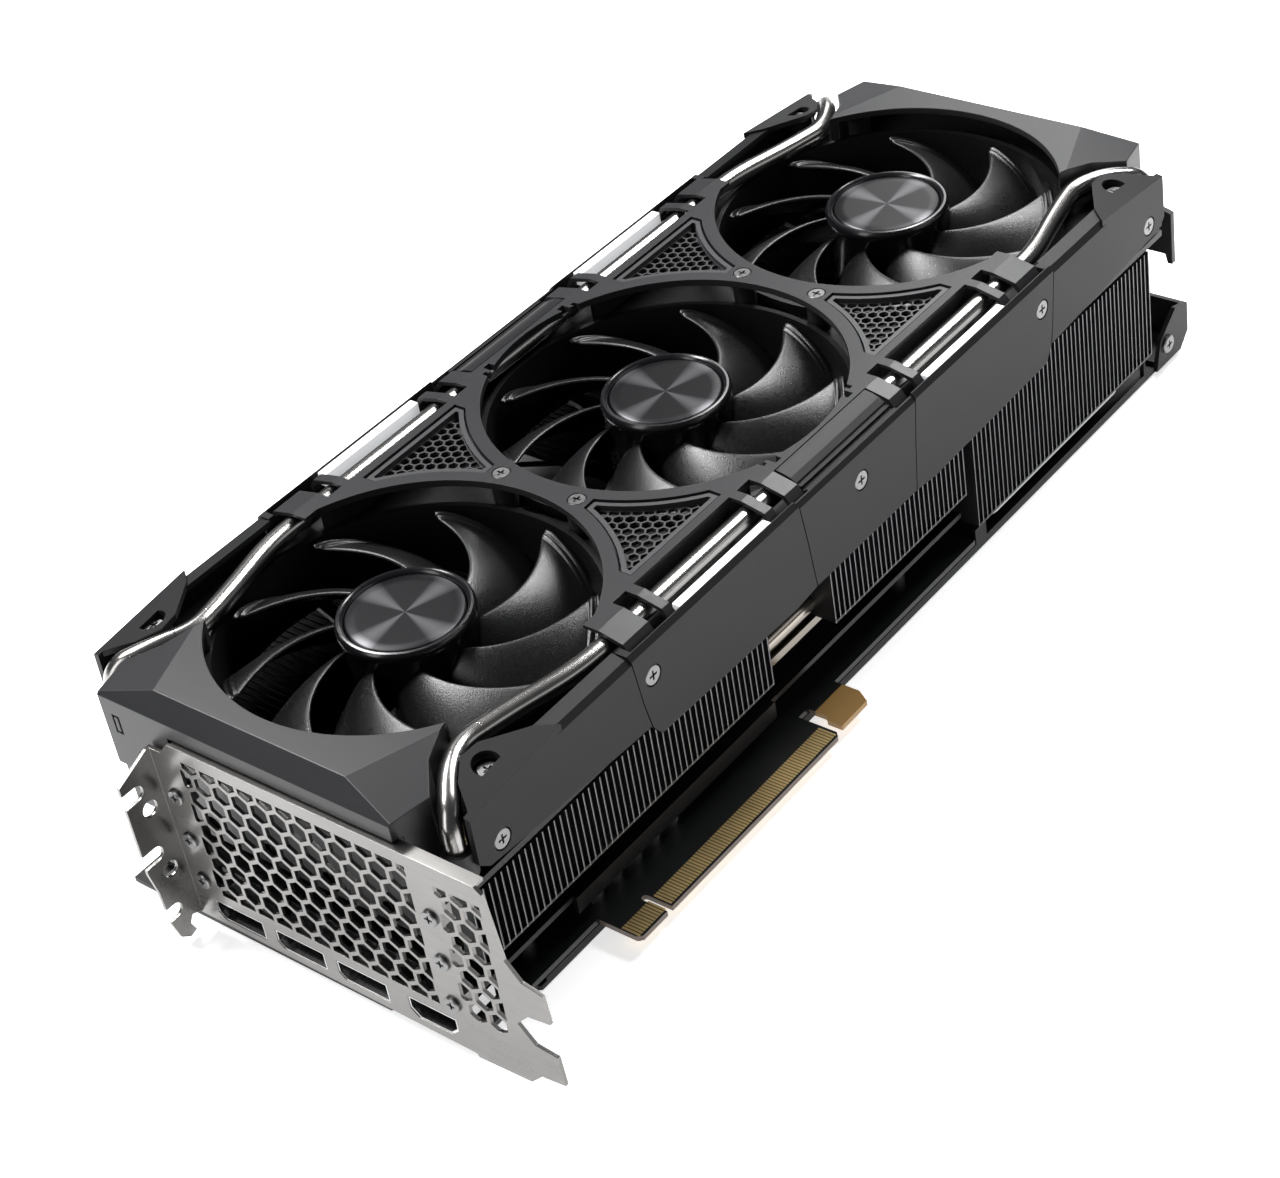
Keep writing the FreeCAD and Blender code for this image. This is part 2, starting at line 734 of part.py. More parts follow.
def tubePoints():
    far = [(2 * midFanX - x, y, z) for x, y, z in reversed(tubeRoute)]
    return tubeRoute + far


def makeTube():
    return tube(tubePoints(), tubeR, 0)


def makeTubeSockets():
    # rubber-lined cups that the tube's turned-down ends drop into
    x, y = tubeEndXY
    cup = ring(tubeR + 0.02, tubeR + 1.3, x, y, 50.5, 57.0)
    cup = cup.fuse(cyl(tubeR + 1.3, x, y, 49.6, 50.6))
    ends = [cup, flipEnds(cup)]
    return Part.makeCompound(ends + [flipY(e) for e in ends])


def slopeCut(p, q, s, inside):
    # large block on the far side of the plane through three points, to slice a sloping face
    a, b, c = V(*p), V(*q), V(*s)
    normal = (b - a).cross(c - a).normalize()
    if normal.dot(V(*inside) - a) > 0:
        normal = normal * -1
    block = Part.makeBox(200, 200, 60, V(-100, -100, 0))
    block.Placement = FreeCAD.Placement(a, FreeCAD.Rotation(Z, normal))
    return block


def capOutline(inset):
    i = inset
    near = [
        (1.5 + i, -48.0 + i), (13.0, -50.4 + i), (21.0, -43.6 + i), (31.0, -39.6 + i),
        (46.0, -42.0 + i), (64.0, -channelY + i), (76.2, -channelY + i)]
    return near + [(x, -y) for x, y in reversed(near)]


capEndX = 2 * midFanX - 1.5


def makeEndCap():
    # faceted cap over the end fan: sloping front, chamfered corners, thin walls
    outer = prism("xy", capOutline(0), 47.0, topZ)
    inner = prism("xy", capOutline(2.0), 46.0, topZ - frameT)
    slices = [slopeCut((6.2, 0, topZ), (6.2, 9, topZ), (1.5, 0, 68.6), (60, 0, 50))]
    for side in (-1, 1):
        slices.append(slopeCut(
            (6.2, side * 31.5, topZ), (20.0, side * 36.8, topZ), (1.5, side * 47.8, 69.2), (60, 0, 50)))
    shell = outer
    core = inner
    for block in slices:
        shell = shell.cut(block)
        lowered = block.copy()
        lowered.translate(V(1.6, 0, -1.6))
        core = core.cut(lowered)
    shell = shell.cut(core)
    opening = cyl(openingR, fanX[0], 0, 40, topZ + 1)
    opening = opening.fuse(cyl(ductR[1] + 0.3, fanX[0], 0, 40, ductTop + 0.3))
    splitFace = box(76.2 - 0.01, 130, -70, 70, 40, topZ + 1)
    openBack = box(60, 78, -44.0, 44.0, 40, topZ - frameT)
    return shell.cut(Part.makeCompound([opening, splitFace])).cut(openBack)


def makeFrontCap():
    cap = makeEndCap()
    # room for the bracket's flange, lip and screws, and a small outlined slot
    relief = box(0, 5.5, -52.0, 38.0, 40, 54.4)
    lipRoom = box(0, 4.4, -60.0, 25.0, 54.0, bracketTop + 0.4)
    slot = box(0, 2.2, 42.2, 44.6, 58.0, 63.6)
    plug = box(1.5, 2.2, 42.7, 44.1, 58.5, 63.1)
    return cap.cut(Part.makeCompound([relief, lipRoom, slot])).fuse(plug)


def makeRearCap():
    cap = flipEnds(makeEndCap())
    # closing wall that hangs down over the fin ends, notched at its two lower corners
    wall = prism("yz", [
        (-58.6, 31.6), (-57.0, 31.6), (-56.2, 34.6), (-48.0, 34.6), (-46.0, 36.6), (46.0, 36.6), (48.0, 34.6),
        (56.2, 34.6), (57.0, 31.6), (58.6, 31.6), (58.6, 48.6), (46.6, 52.0), (-46.6, 52.0), (-58.6, 48.6)],
        capEndX - 2.0, capEndX)
    return join([cap, wall])


meshPitch = 3.0
meshFlat = 2.5
windowRadius = 53.6
windowSpan = (17.0, 43.8)
windowHalf = 17.8
windowGap = 0.6
frameX = (76.5, 2 * midFanX - 76.5)
frameScrewY = 12.57


def windowShape(x, grow, z0, z1):
    # curved triangle between two neighbouring fan openings
    low, high = windowSpan[0] - grow, windowSpan[1] + grow
    half = fanPitch / 2
    shape = box(x - 24, x + 24, -high, -low, z0, z1)
    for side in (-1, 1):
        shape = shape.cut(cyl(windowRadius - grow, x + side * half, 0, z0 - 1, z1 + 1))
    reach = windowHalf + grow
    return shape.common(box(x - reach, x + reach, -high - 1, -low + 1, z0 - 1, z1 + 1))


windowXs = (midFanX - fanPitch / 2, midFanX + fanPitch / 2)


def makeCentreFrame():
    deckZ = topZ - frameT
    half = [
        (frameX[0], -channelY), (84.5, -channelY), (84.5, -46.9), (139.9, -46.9), (142.5, -50.4),
        (midFanX, -50.4)]
    mirrored = [(2 * midFanX - x, y) for x, y in reversed(half[:-1])]
    near = half[:-1] + [half[-1]] + mirrored
    outline = near + [(x, -y) for x, y in reversed(near)]
    deck = prism("xy", outline, deckZ, topZ)
    cuts = [cyl(openingR, x, 0, 0, topZ + 1) for x in fanX]
    for x in windowXs:
        window = windowShape(x, windowGap, deckZ - 1, topZ + 1)
        cuts += [window, flipY(window)]
        for y in (-frameScrewY, frameScrewY):
            cuts.append(cyl(2.6, x, y, topZ - 0.9, topZ + 1))
            cuts.append(cyl(1.4, x, y, 60, topZ + 1))
    # pairs of small square notches in the middle opening's edge
    for x0, x1, y in ((146.2, 147.6, -47.0), (148.8, 151.2, -48.9)):
        notch = box(x0, x1, y, -43.0, deckZ - 1, topZ + 1)
        for one in (notch, flipEnds(notch)):
            cuts += [one, flipY(one)]
    deck = deck.cut(Part.makeCompound(cuts))
    # clips: a broad band and a thin arched rib reach over the tube at each crossing
    arms = []
    for x0, x1 in ((74.6, 84.5), (89.7, 92.7), (131.6, 134.7), (139.9, 145.5)):
        arms.append(clipArm(x0, x1))
        arms.append(flipEnds(clipArm(x0, x1)))
    arms += [flipY(arm) for arm in arms]
    # drop walls beside the tube channels, and posts for the frame screws
    walls = []
    for x0, x1 in ((frameX[0], 139.9), (2 * midFanX - 139.9, frameX[1])):
        wall = box(x0, x1, -46.9, -45.6, shelfZ[1] + 0.2, topZ - 0.5)
        for x in fanX:
            wall = wall.cut(cyl(openingR + 1.6, x, 0, 0, topZ + 1))
        walls += [wall, flipY(wall)]
    posts = []
    for x in windowXs:
        for y in (-frameScrewY, frameScrewY):
            posts.append(ring(1.4, 3.2, x, y, shelfZ[1] + 0.1, deckZ + 0.2))
    return join([deck] + arms + walls + posts)


def clipArm(x0, x1):
    # bent strap from the deck's edge, over the tube and down to the side panel
    strap = [
        (-45.8, topZ), (-50.5, topZ), (-57.6, topZ - 1.6), (-59.9, topZ - 4.6), (-59.9, topZ - 6.0),
        (-58.6, topZ - 6.0), (-58.4, topZ - 4.4), (-56.6, topZ - 2.6), (-50.5, topZ - 1.0),
        (-45.8, topZ - 1.0)]
    arm = prism("yz", strap, x0, x1)
    clearance = rod(tubeR + 0.06, (x0 - 1, -tubeY, tubeZ), (x1 + 1, -tubeY, tubeZ))
    return arm.cut(clearance)


def makeGrilleInserts():
    # recessed panels of hexagonal mesh in the four windows
    inserts = []
    deckZ = topZ - frameT
    for x in windowXs:
        panel = windowShape(x, windowGap + 0.5, deckZ - 1.1, deckZ - 0.05)
        rim = windowShape(x, 0, deckZ - 0.2, topZ - 0.5)
        rim = rim.cut(windowShape(x, -1.3, deckZ - 1, topZ))
        inside = windowShape(x, -1.5, topZ - 4, deckZ + 0.5)
        cells = []
        for row in range(11):
            for column in range(14):
                cellX = x + (column - 6.5) * meshPitch + (meshPitch / 2 if row % 2 else 0)
                cellY = -windowSpan[1] + row * meshPitch * math.sqrt(3) / 2
                cell = prism("xy", hexagon(cellX, cellY, meshFlat), topZ - 4, deckZ + 0.5)
                cell = cell.common(inside)
                if cell.Volume > 1.5:
                    cells.append(cell)
        panel = panel.fuse(rim).cut(Part.makeCompound(cells))
        inserts += [panel, flipY(panel)]
    return Part.makeCompound(inserts)


def makeFrameScrews():
    screws = []
    for x in windowXs:
        for y in (-frameScrewY, frameScrewY):
            screws.append(screw(x, y, topZ - 0.05, (0, 0, 1), 2.5, 0.85, 1.3, 6.0))
    return Part.makeCompound(screws)


# side panels, drawn on the -Y side: a section in y-z trimmed by an outline in x-z
panelSection = [
    (-sideY, 30.0), (-sideY, 69.4), (-60.6, 70.7), (-57.2, 70.7), (-57.2, 69.3), (-60.2, 69.3),
    (-60.2, 30.0)]
cornerScrewXZ = (21.3, 55.3)
panelScrewXZ = (78.6, 60.8)
middleScrewXZ = (midFanX, 60.6)
deepScrewXY = (27.6, -55.0)
sideHeadR = 2.8
sideShankR = 1.4
headT = 0.85


def panel(outline, section, screwsXZ):
    xs = [x for x, z in outline]
    body = prism("yz", section, min(xs) - 1, max(xs) + 1)
    body = body.common(prism("xz", outline, -70, -40))
    for x, z in screwsXZ:
        body = body.cut(rod(sideShankR + 0.1, (x, -70, z), (x, -50, z)))
        body = body.cut(rod(sideHeadR + 0.15, (x, -70, z), (x, -sideY + 1.0, z)))
    return body


def makeSidePanelA():
    outline = [
        (78.2, 43.0), (134.0, 41.4), (143.2 - seam, 42.4), (141.6 - seam, 58.0), (139.6 - seam, 73.0),
        (71.4 + seam, 73.0), (73.6 + seam, 55.0), (75.2 + seam, 47.0)]
    body = panel(outline, panelSection, [panelScrewXZ])
    # room for the clips and the light bar
    return body.cut(box(74.0, 146.0, -60.3, -50.0, 66.0, 72.0))


def makeSidePanelB():
    left = [(143.2, 42.4), (141.6, 58.0), (139.6, 73.0)]
    right = [(2 * midFanX - x, z) for x, z in reversed(left)]
    section = [
        (-sideY, 30.0), (-sideY, 68.8), (-60.8, 70.0), (-59.4, 70.0), (-59.4, 69.4), (-58.2, 69.4),
        (-58.2, 70.3), (-56.9, 70.3), (-56.7, 70.9), (-55.0, 71.9), (-53.0, 72.6), (-50.7, 72.95),
        (-50.7, 71.5), (-53.8, 71.2), (-55.5, 69.9), (-57.4, 68.0), (-60.2, 67.0), (-60.2, 30.0)]
    body = panel(left + right, section, [middleScrewXZ])
    body = body.cut(box(139.0, 146.2, -60.3, -50.0, 60.0, 75.0))
    return body.cut(box(2 * midFanX - 146.2, 193.0, -60.3, -50.0, 60.0, 75.0))


# the sloping facet between the corner panel's outer face and the tube's bend
facetPlane = [(13.2, -61.9, 67.3), (43.5, -60.5, 70.7), (27.6, -55.0, 70.2)]
facetT = 1.8


def makeCornerPanel():
    # end panel: slanted lower edge and a sloping facet up to the tube's bend
    outline = [
        (12.8, 54.0), (16.0, 51.4), (31.4, 50.2), (75.0, 47.6), (73.6, 55.0), (71.4, 73.0), (44.0, 73.0),
        (13.0, 68.0)]
    section = [
        (-sideY, 30.0), (-sideY, 68.6), (-60.4, 70.0), (-56.4, 70.6), (-56.4, 69.0), (-59.6, 68.4),
        (-60.2, 67.2), (-60.2, 30.0)]
    wall = panel(outline, section, [cornerScrewXZ])
    above = slopeCut(*facetPlane, (30, -55, 60))
    below = [(x, y, z - facetT) for x, y, z in facetPlane]
    facet = prism("xy", [
        (13.0, -61.9), (46.0, -61.9), (42.0, -57.0), (31.0, -49.6), (25.6, -49.0), (19.6, -53.2),
        (15.8, -58.6)], 60, 75)
    facet = facet.cut(above).cut(slopeCut(*below, (30, -55, 90)))
    wall = wall.cut(above)
    x, y = deepScrewXY
    pocket = cyl(3.6, x, y, 50, 75)
    cup = ring(sideShankR + 0.1, 4.4, x, y, 63.0, 67.6).fuse(ring(3.7, 4.4, x, y, 63.0, 68.6))
    tubeRoom = tube(tubePoints(), tubeR + 0.3, 0)
    return join([wall, facet.cut(pocket), cup]).cut(tubeRoom)


def addSides():
    front = makeCornerPanel()
    panelA = makeSidePanelA()
    panelB = makeSidePanelB()
    shapes = {
        "corner_panel_front": front, "side_panel_front": panelA, "side_panel_middle": panelB,
        "side_panel_rear": flipEnds(panelA), "corner_panel_rear": flipEnds(front)}
    for name, shape in shapes.items():
        add(name + "_near", shape)
        add(name + "_far", flipY(shape))


def sideScrew(x, y, z, direction, length):
    return screw(x, y, z, direction, sideHeadR, headT, sideShankR, length)


def makeSideScrews():
    near = []
    for x, z in (cornerScrewXZ, panelScrewXZ):
        one = sideScrew(x, -sideY + 0.1, z, (0, -1, 0), 1.6)
        near += [one, flipEnds(one)]
    near.append(sideScrew(middleScrewXZ[0], -sideY + 0.1, middleScrewXZ[1], (0, -1, 0), 1.6))
    deep = sideScrew(deepScrewXY[0], deepScrewXY[1], 68.5, (0, 0, 1), 1.8)
    end = sideScrew(endScrewXZ[0], -60.8, endScrewXZ[1], (0, -1, 0), 1.7)
    near += [deep, flipEnds(deep), end]
    return Part.makeCompound(near + [flipY(one) for one in near])


def makeLightBars():
    # pale diffuser strips along the tube's two open stretches
    bar = box(93.6, 130.8, -60.25, -57.4, 66.4, 70.3)
    bars = [bar, flipEnds(bar)]
    return Part.makeCompound(bars + [flipY(b) for b in bars])


# ---------------------------------------------------------------- assembly
add("io_bracket", makeBracket())
add("bracket_screws", makeBracketScrews())
add("display_ports", Part.makeCompound([makeDisplayPort(start) for start in portStarts]))
add("hdmi_port", makeHdmiPort())
add("port_tongues", makePortTongues())
add("circuit_board", makeBoard())
add("edge_contacts", makeContacts())
add("gpu_package", makeGpu())
add("memory_chips", makeMemory())
add("inductors", makeInductors())
add("power_stages", makePowerStages())
add("capacitors", makeCapacitors())
add("power_socket", makePowerSocket())
add("backplate", makeBackplate())
add("backplate_screws", makeBackplateScrews())
add("cooler_screws", makeCoolerScrews())
add("end_bracket", makeEndBracket())
add("mid_frame", makeMidFrame())
add("cold_plate", makeColdPlate())
add("thermal_pads", makeThermalPads())
add("heat_pipes", makeHeatPipes())
add("fin_stack_front", makeFins(10.0, 125.0, finFloorZ, False))
add("fin_stack_middle", makeFins(152.0, 215.6, finFloorZ, False))
add("fin_stack_rear", makeFins(219.4, 315.0, rearFinZ, True))
add("fan_tray", makeFanTray())
add("fan_stators", makeStators())
add("fan_bearings", makeBearings())
addFans()
add("fan_leads", makeFanLeads())
add("front_cap", makeFrontCap())
add("rear_cap", makeRearCap())
add("centre_frame", makeCentreFrame())
add("grille_inserts", makeGrilleInserts())
add("frame_screws", makeFrameScrews())
addSides()
add("side_screws", makeSideScrews())
add("tube_near", makeTube())
add("tube_far", flipY(makeTube()))
add("tube_sockets", makeTubeSockets())
add("light_bars", makeLightBars())

os.makedirs("parts", exist_ok=True)
for name, shape in nodes.items():
    shape.translate(V(-midFanX, 0, 0))
    shape.exportStep("parts/" + name + ".step")
    valid = shape.isValid()
    print("%-26s solids %3d  volume %10.1f  valid %s" % (name, len(shape.Solids), shape.Volume, valid))
print("nodes", len(nodes))
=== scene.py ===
import json
import math

import bpy
from mathutils import Matrix, Vector

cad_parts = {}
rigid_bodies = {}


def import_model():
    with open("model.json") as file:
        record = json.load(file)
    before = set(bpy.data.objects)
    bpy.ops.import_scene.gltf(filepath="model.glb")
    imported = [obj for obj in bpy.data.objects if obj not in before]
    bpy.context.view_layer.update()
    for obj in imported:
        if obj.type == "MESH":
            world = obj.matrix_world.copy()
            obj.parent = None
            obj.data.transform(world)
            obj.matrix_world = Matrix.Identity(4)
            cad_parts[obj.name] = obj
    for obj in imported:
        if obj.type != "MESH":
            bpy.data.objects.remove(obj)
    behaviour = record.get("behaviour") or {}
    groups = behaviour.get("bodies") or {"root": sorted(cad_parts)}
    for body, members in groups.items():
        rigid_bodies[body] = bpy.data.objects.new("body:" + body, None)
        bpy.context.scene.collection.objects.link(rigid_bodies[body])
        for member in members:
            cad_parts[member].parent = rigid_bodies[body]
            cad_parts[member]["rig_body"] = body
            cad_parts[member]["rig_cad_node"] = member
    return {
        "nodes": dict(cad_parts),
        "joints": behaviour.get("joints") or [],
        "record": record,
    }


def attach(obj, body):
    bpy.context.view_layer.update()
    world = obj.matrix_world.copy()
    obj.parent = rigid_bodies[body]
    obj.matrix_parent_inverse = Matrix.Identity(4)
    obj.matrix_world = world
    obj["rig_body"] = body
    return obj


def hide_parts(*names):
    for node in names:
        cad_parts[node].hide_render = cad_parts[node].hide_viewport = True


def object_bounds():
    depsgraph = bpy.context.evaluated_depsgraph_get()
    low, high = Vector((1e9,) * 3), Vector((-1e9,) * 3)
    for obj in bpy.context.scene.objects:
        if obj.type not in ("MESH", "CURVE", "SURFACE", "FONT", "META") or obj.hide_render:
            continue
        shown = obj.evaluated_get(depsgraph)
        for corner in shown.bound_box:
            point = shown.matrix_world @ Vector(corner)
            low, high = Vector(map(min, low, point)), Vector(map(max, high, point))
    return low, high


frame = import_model()
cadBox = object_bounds()
nodes = frame["nodes"]
mm = 0.001
fanSpots = [Vector(joint["pos_m"]) for joint in frame["joints"]]
fanBodies = [joint["child"] for joint in frame["joints"]]
mainBody = frame["joints"][0]["parent"]
print("frame loaded:", len(nodes), "nodes")


# camera, floor and light

cameraSpot = {"place": (-0.4517, -0.4167, 0.4738), "aim": (-0.0009, 0.0214, -0.0046),
              "roll": -10.29, "lens": 78.07, "sensor": 36}


def placeCamera():
    data = bpy.data.cameras.new("shotCamera")
    data.lens = cameraSpot["lens"]
    data.sensor_width = cameraSpot["sensor"]
    camera = bpy.data.objects.new("shotCamera", data)
    bpy.context.scene.collection.objects.link(camera)
    place = Vector(cameraSpot["place"])
    facing = (Vector(cameraSpot["aim"]) - place).to_track_quat("-Z", "Y").to_matrix()
    turn = Matrix.Rotation(math.radians(cameraSpot["roll"]), 3, "Z")
    camera.location = place
    camera.rotation_euler = (facing @ turn).to_euler()
    bpy.context.scene.camera = camera


softLights = {
    "overhead": {"place": (-0.12, 0.55, 0.85), "aim": (0, 0, 0), "size": (0.8, 0.22), "watts": 17},
    "ridgeStrip": {"place": (0.62, 0.02, 0.82), "aim": (0.03, 0, 0.05), "size": (0.6, 0.22), "watts": 11},
    "nearSide": {"place": (0.35, -0.95, 0.42), "aim": (0.05, 0, 0.03), "size": (0.9, 0.3), "watts": 0.8},
    "endStrip": {"place": (-0.95, 0.2, 0.4), "aim": (-0.1, 0, 0.03), "size": (0.3, 0.8), "watts": 2.5},
    "backStrip": {"place": (0.95, 0.45, 0.62), "aim": (0.05, 0, 0.05), "size": (0.3, 0.8), "watts": 3}}


def placeLights():
    for name, say in softLights.items():
        data = bpy.data.lights.new(name, "AREA")
        data.shape = "RECTANGLE"
        data.size, data.size_y = say["size"]
        data.energy = say["watts"]
        light = bpy.data.objects.new(name, data)
        bpy.context.scene.collection.objects.link(light)
        place = Vector(say["place"])
        light.location = place
        light.rotation_euler = (Vector(say["aim"]) - place).to_track_quat("-Z", "Y").to_euler()


floorLook = {"size": 14, "below": 0.0005, "shade": (0.86, 0.86, 0.87, 1), "roughness": 0.9, "glow": 0.7}


def placeFloor():
    bpy.ops.object.select_all(action="DESELECT")
    height = cadBox[0][2] - floorLook["below"]
    bpy.ops.mesh.primitive_plane_add(size=floorLook["size"], location=(0, 0, height))
    floor = bpy.context.object
    floor.name = "floor"
    paint = bpy.data.materials.new("floorWhite")
    paint.use_nodes = True
    shader = paint.node_tree.nodes["Principled BSDF"]
    shader.inputs["Base Color"].default_value = floorLook["shade"]
    shader.inputs["Roughness"].default_value = floorLook["roughness"]
    shader.inputs["Emission Color"].default_value = (1, 1, 1, 1)
    shader.inputs["Emission Strength"].default_value = floorLook["glow"]
    floor.data.materials.append(paint)


skyLook = {"shade": (0.92, 0.95, 1.0, 1), "strength": 0.08}


def setWorld():
    world = bpy.data.worlds.new("studio")
    world.use_nodes = True
    sky = world.node_tree.nodes["Background"]
    sky.inputs["Color"].default_value = skyLook["shade"]
    sky.inputs["Strength"].default_value = skyLook["strength"]
    bpy.context.scene.world = world
    bpy.context.scene.view_settings.view_transform = "Standard"


placeCamera()
placeLights()
placeFloor()
setWorld()
print("camera, floor and lights placed")


# effects that several materials share

def startGroup(name, inputs, outputs):
    tree = bpy.data.node_groups.new(name, "ShaderNodeTree")
    for label, kind, value in inputs:
        socket = tree.interface.new_socket(label, in_out="INPUT", socket_type=kind)
        socket.default_value = value
    for label, kind in outputs:
        tree.interface.new_socket(label, in_out="OUTPUT", socket_type=kind)
    return tree, tree.nodes.new("NodeGroupInput"), tree.nodes.new("NodeGroupOutput")


def addNode(tree, kind, **values):
    made = tree.nodes.new(kind)
    for label, value in values.items():
        setattr(made, label, value)
    return made


def addNoise(tree, vector, scale, detail=2.0, rough=0.5):
    noise = addNode(tree, "ShaderNodeTexNoise")
    if hasattr(scale, "is_output"):
        tree.links.new(scale, noise.inputs["Scale"])
    else:
        noise.inputs["Scale"].default_value = scale
    noise.inputs["Detail"].default_value = detail
    noise.inputs["Roughness"].default_value = rough
    tree.links.new(vector, noise.inputs["Vector"])
    return noise.outputs["Fac"]


def addMath(tree, how, a, b):
    node = addNode(tree, "ShaderNodeMath", operation=how)
    for socket, value in zip(node.inputs, (a, b)):
        if hasattr(value, "is_output"):
            tree.links.new(value, socket)
        else:
            socket.default_value = value
    return node.outputs[0]


def addRange(tree, value, low, high, newLow, newHigh):
    node = addNode(tree, "ShaderNodeMapRange")
    labels = ("Value", "From Min", "From Max", "To Min", "To Max")
    for label, given in zip(labels, (value, low, high, newLow, newHigh)):
        if hasattr(given, "is_output"):
            tree.links.new(given, node.inputs[label])
        else:
            node.inputs[label].default_value = given
    return node.outputs["Result"]


def mixColors(tree, factor, a, b):
    node = addNode(tree, "ShaderNodeMix", data_type="RGBA")
    for socket, value in ((node.inputs[0], factor), (node.inputs[6], a), (node.inputs[7], b)):
        if hasattr(value, "is_output"):
            tree.links.new(value, socket)
        else:
            socket.default_value = (*value, 1)
    return node.outputs[2]


skinScales = {"slow": 24.0, "specks": 900.0, "stains": 55.0, "grooves": 4200.0}
skinSwings = {"brushShade": 0.22, "grooveGloss": 0.25, "grooveShade": 0.7}


def finishSkin(tree, given, out, lift, rough, height):
    # the shade made lighter or darker by the lift, with the gloss and the relief beside it
    scaled = addNode(tree, "ShaderNodeVectorMath", operation="SCALE")
    tree.links.new(given.outputs["Shade"], scaled.inputs[0])
    tree.links.new(lift, scaled.inputs["Scale"])
    tree.links.new(scaled.outputs[0], out.inputs["Color"])
    tree.links.new(rough, out.inputs["Roughness"])
    tree.links.new(height, out.inputs["Height"])
    return tree


def makeGrainGroup():
    # moulded or coated skin: fine grain, with slow drifts in shade and gloss
    tree, given, out = startGroup("skinGrain", [
        ("Shade", "NodeSocketColor", (0.05, 0.05, 0.05, 1)), ("Roughness", "NodeSocketFloat", 0.45),
        ("Spread", "NodeSocketFloat", 0.08), ("Grain Scale", "NodeSocketFloat", 3500.0),
        ("Drift", "NodeSocketFloat", 0.15)],
        [("Color", "NodeSocketColor"), ("Roughness", "NodeSocketFloat"), ("Height", "NodeSocketFloat")])
    spot = addNode(tree, "ShaderNodeTexCoord").outputs["Object"]
    fine = addNoise(tree, spot, given.outputs["Grain Scale"], 3, 0.6)
    slow = addNoise(tree, spot, skinScales["slow"], 3, 0.55)
    specks = addNoise(tree, spot, skinScales["specks"], 2, 0.5)
    swing = addMath(tree, "MULTIPLY", addMath(tree, "SUBTRACT", slow, 0.5), given.outputs["Spread"])
    sparkle = addMath(tree, "MULTIPLY", addMath(tree, "SUBTRACT", specks, 0.5), given.outputs["Spread"])
    rough = addMath(tree, "ADD", given.outputs["Roughness"], addMath(tree, "ADD", swing, sparkle))
    drift = addMath(tree, "MULTIPLY", addMath(tree, "SUBTRACT", slow, 0.5), given.outputs["Drift"])
    lift = addMath(tree, "ADD", 1.0, drift)
    return finishSkin(tree, given, out, lift, rough, fine)


def makeBrushGroup():
    # fine parallel scratches of a brushed or drawn metal, with faint stains
    tree, given, out = startGroup("brushedSkin", [
        ("Shade", "NodeSocketColor", (0.6, 0.6, 0.6, 1)), ("Roughness", "NodeSocketFloat", 0.3),
        ("Stretch", "NodeSocketVector", (80.0, 3000.0, 3000.0)), ("Spread", "NodeSocketFloat", 0.15)],
        [("Color", "NodeSocketColor"), ("Roughness", "NodeSocketFloat"), ("Height", "NodeSocketFloat")])
    spot = addNode(tree, "ShaderNodeTexCoord").outputs["Object"]
    stretched = addNode(tree, "ShaderNodeVectorMath", operation="MULTIPLY")
    tree.links.new(spot, stretched.inputs[0])
    tree.links.new(given.outputs["Stretch"], stretched.inputs[1])
    lines = addNoise(tree, stretched.outputs[0], 1.0, 3, 0.6)
    stains = addNoise(tree, spot, skinScales["stains"], 4, 0.6)
    lineSwing = addMath(tree, "SUBTRACT", lines, 0.5)
    swing = addMath(tree, "ADD", lineSwing, addMath(tree, "SUBTRACT", stains, 0.5))
    spread = addMath(tree, "MULTIPLY", swing, given.outputs["Spread"])
    rough = addMath(tree, "ADD", given.outputs["Roughness"], spread)
    lift = addMath(tree, "ADD", 1.0, addMath(tree, "MULTIPLY", swing, skinSwings["brushShade"]))
    return finishSkin(tree, given, out, lift, rough, lines)


def makeRingGroup():
    # fine turned grooves round an upright axis
    tree, given, out = startGroup("turnedSkin", [
        ("Centre", "NodeSocketVector", (0, 0, 0)), ("Shade", "NodeSocketColor", (0.1, 0.1, 0.1, 1)),
        ("Roughness", "NodeSocketFloat", 0.3)],
        [("Color", "NodeSocketColor"), ("Roughness", "NodeSocketFloat"), ("Height", "NodeSocketFloat")])
    spot = addNode(tree, "ShaderNodeTexCoord").outputs["Object"]
    shifted = addNode(tree, "ShaderNodeVectorMath", operation="SUBTRACT")
    tree.links.new(spot, shifted.inputs[0])
    tree.links.new(given.outputs["Centre"], shifted.inputs[1])
    flat = addNode(tree, "ShaderNodeVectorMath", operation="MULTIPLY")
    tree.links.new(shifted.outputs[0], flat.inputs[0])
    flat.inputs[1].default_value = (1, 1, 0)
    reach = addNode(tree, "ShaderNodeVectorMath", operation="LENGTH")
    tree.links.new(flat.outputs[0], reach.inputs[0])
    along = addNode(tree, "ShaderNodeCombineXYZ")
    tree.links.new(reach.outputs["Value"], along.inputs[0])
    grooves = addNoise(tree, along.outputs[0], skinScales["grooves"], 2, 0.6)
    swing = addMath(tree, "SUBTRACT", grooves, 0.5)
    gloss = addMath(tree, "MULTIPLY", swing, skinSwings["grooveGloss"])
    rough = addMath(tree, "ADD", given.outputs["Roughness"], gloss)
    lift = addMath(tree, "ADD", 1.0, addMath(tree, "MULTIPLY", swing, skinSwings["grooveShade"]))
    return finishSkin(tree, given, out, lift, rough, grooves)


grainGroup = makeGrainGroup()
brushGroup = makeBrushGroup()
ringGroup = makeRingGroup()


def startMaterial(name, metallic=0.0, coat=0.0, coatRoughness=0.1, ior=1.5):
    paint = bpy.data.materials.new(name)
    paint.use_nodes = True
    shader = paint.node_tree.nodes["Principled BSDF"]
    shader.inputs["Metallic"].default_value = metallic
    shader.inputs["Coat Weight"].default_value = coat
    shader.inputs["Coat Roughness"].default_value = coatRoughness
    shader.inputs["IOR"].default_value = ior
    return paint, paint.node_tree, shader


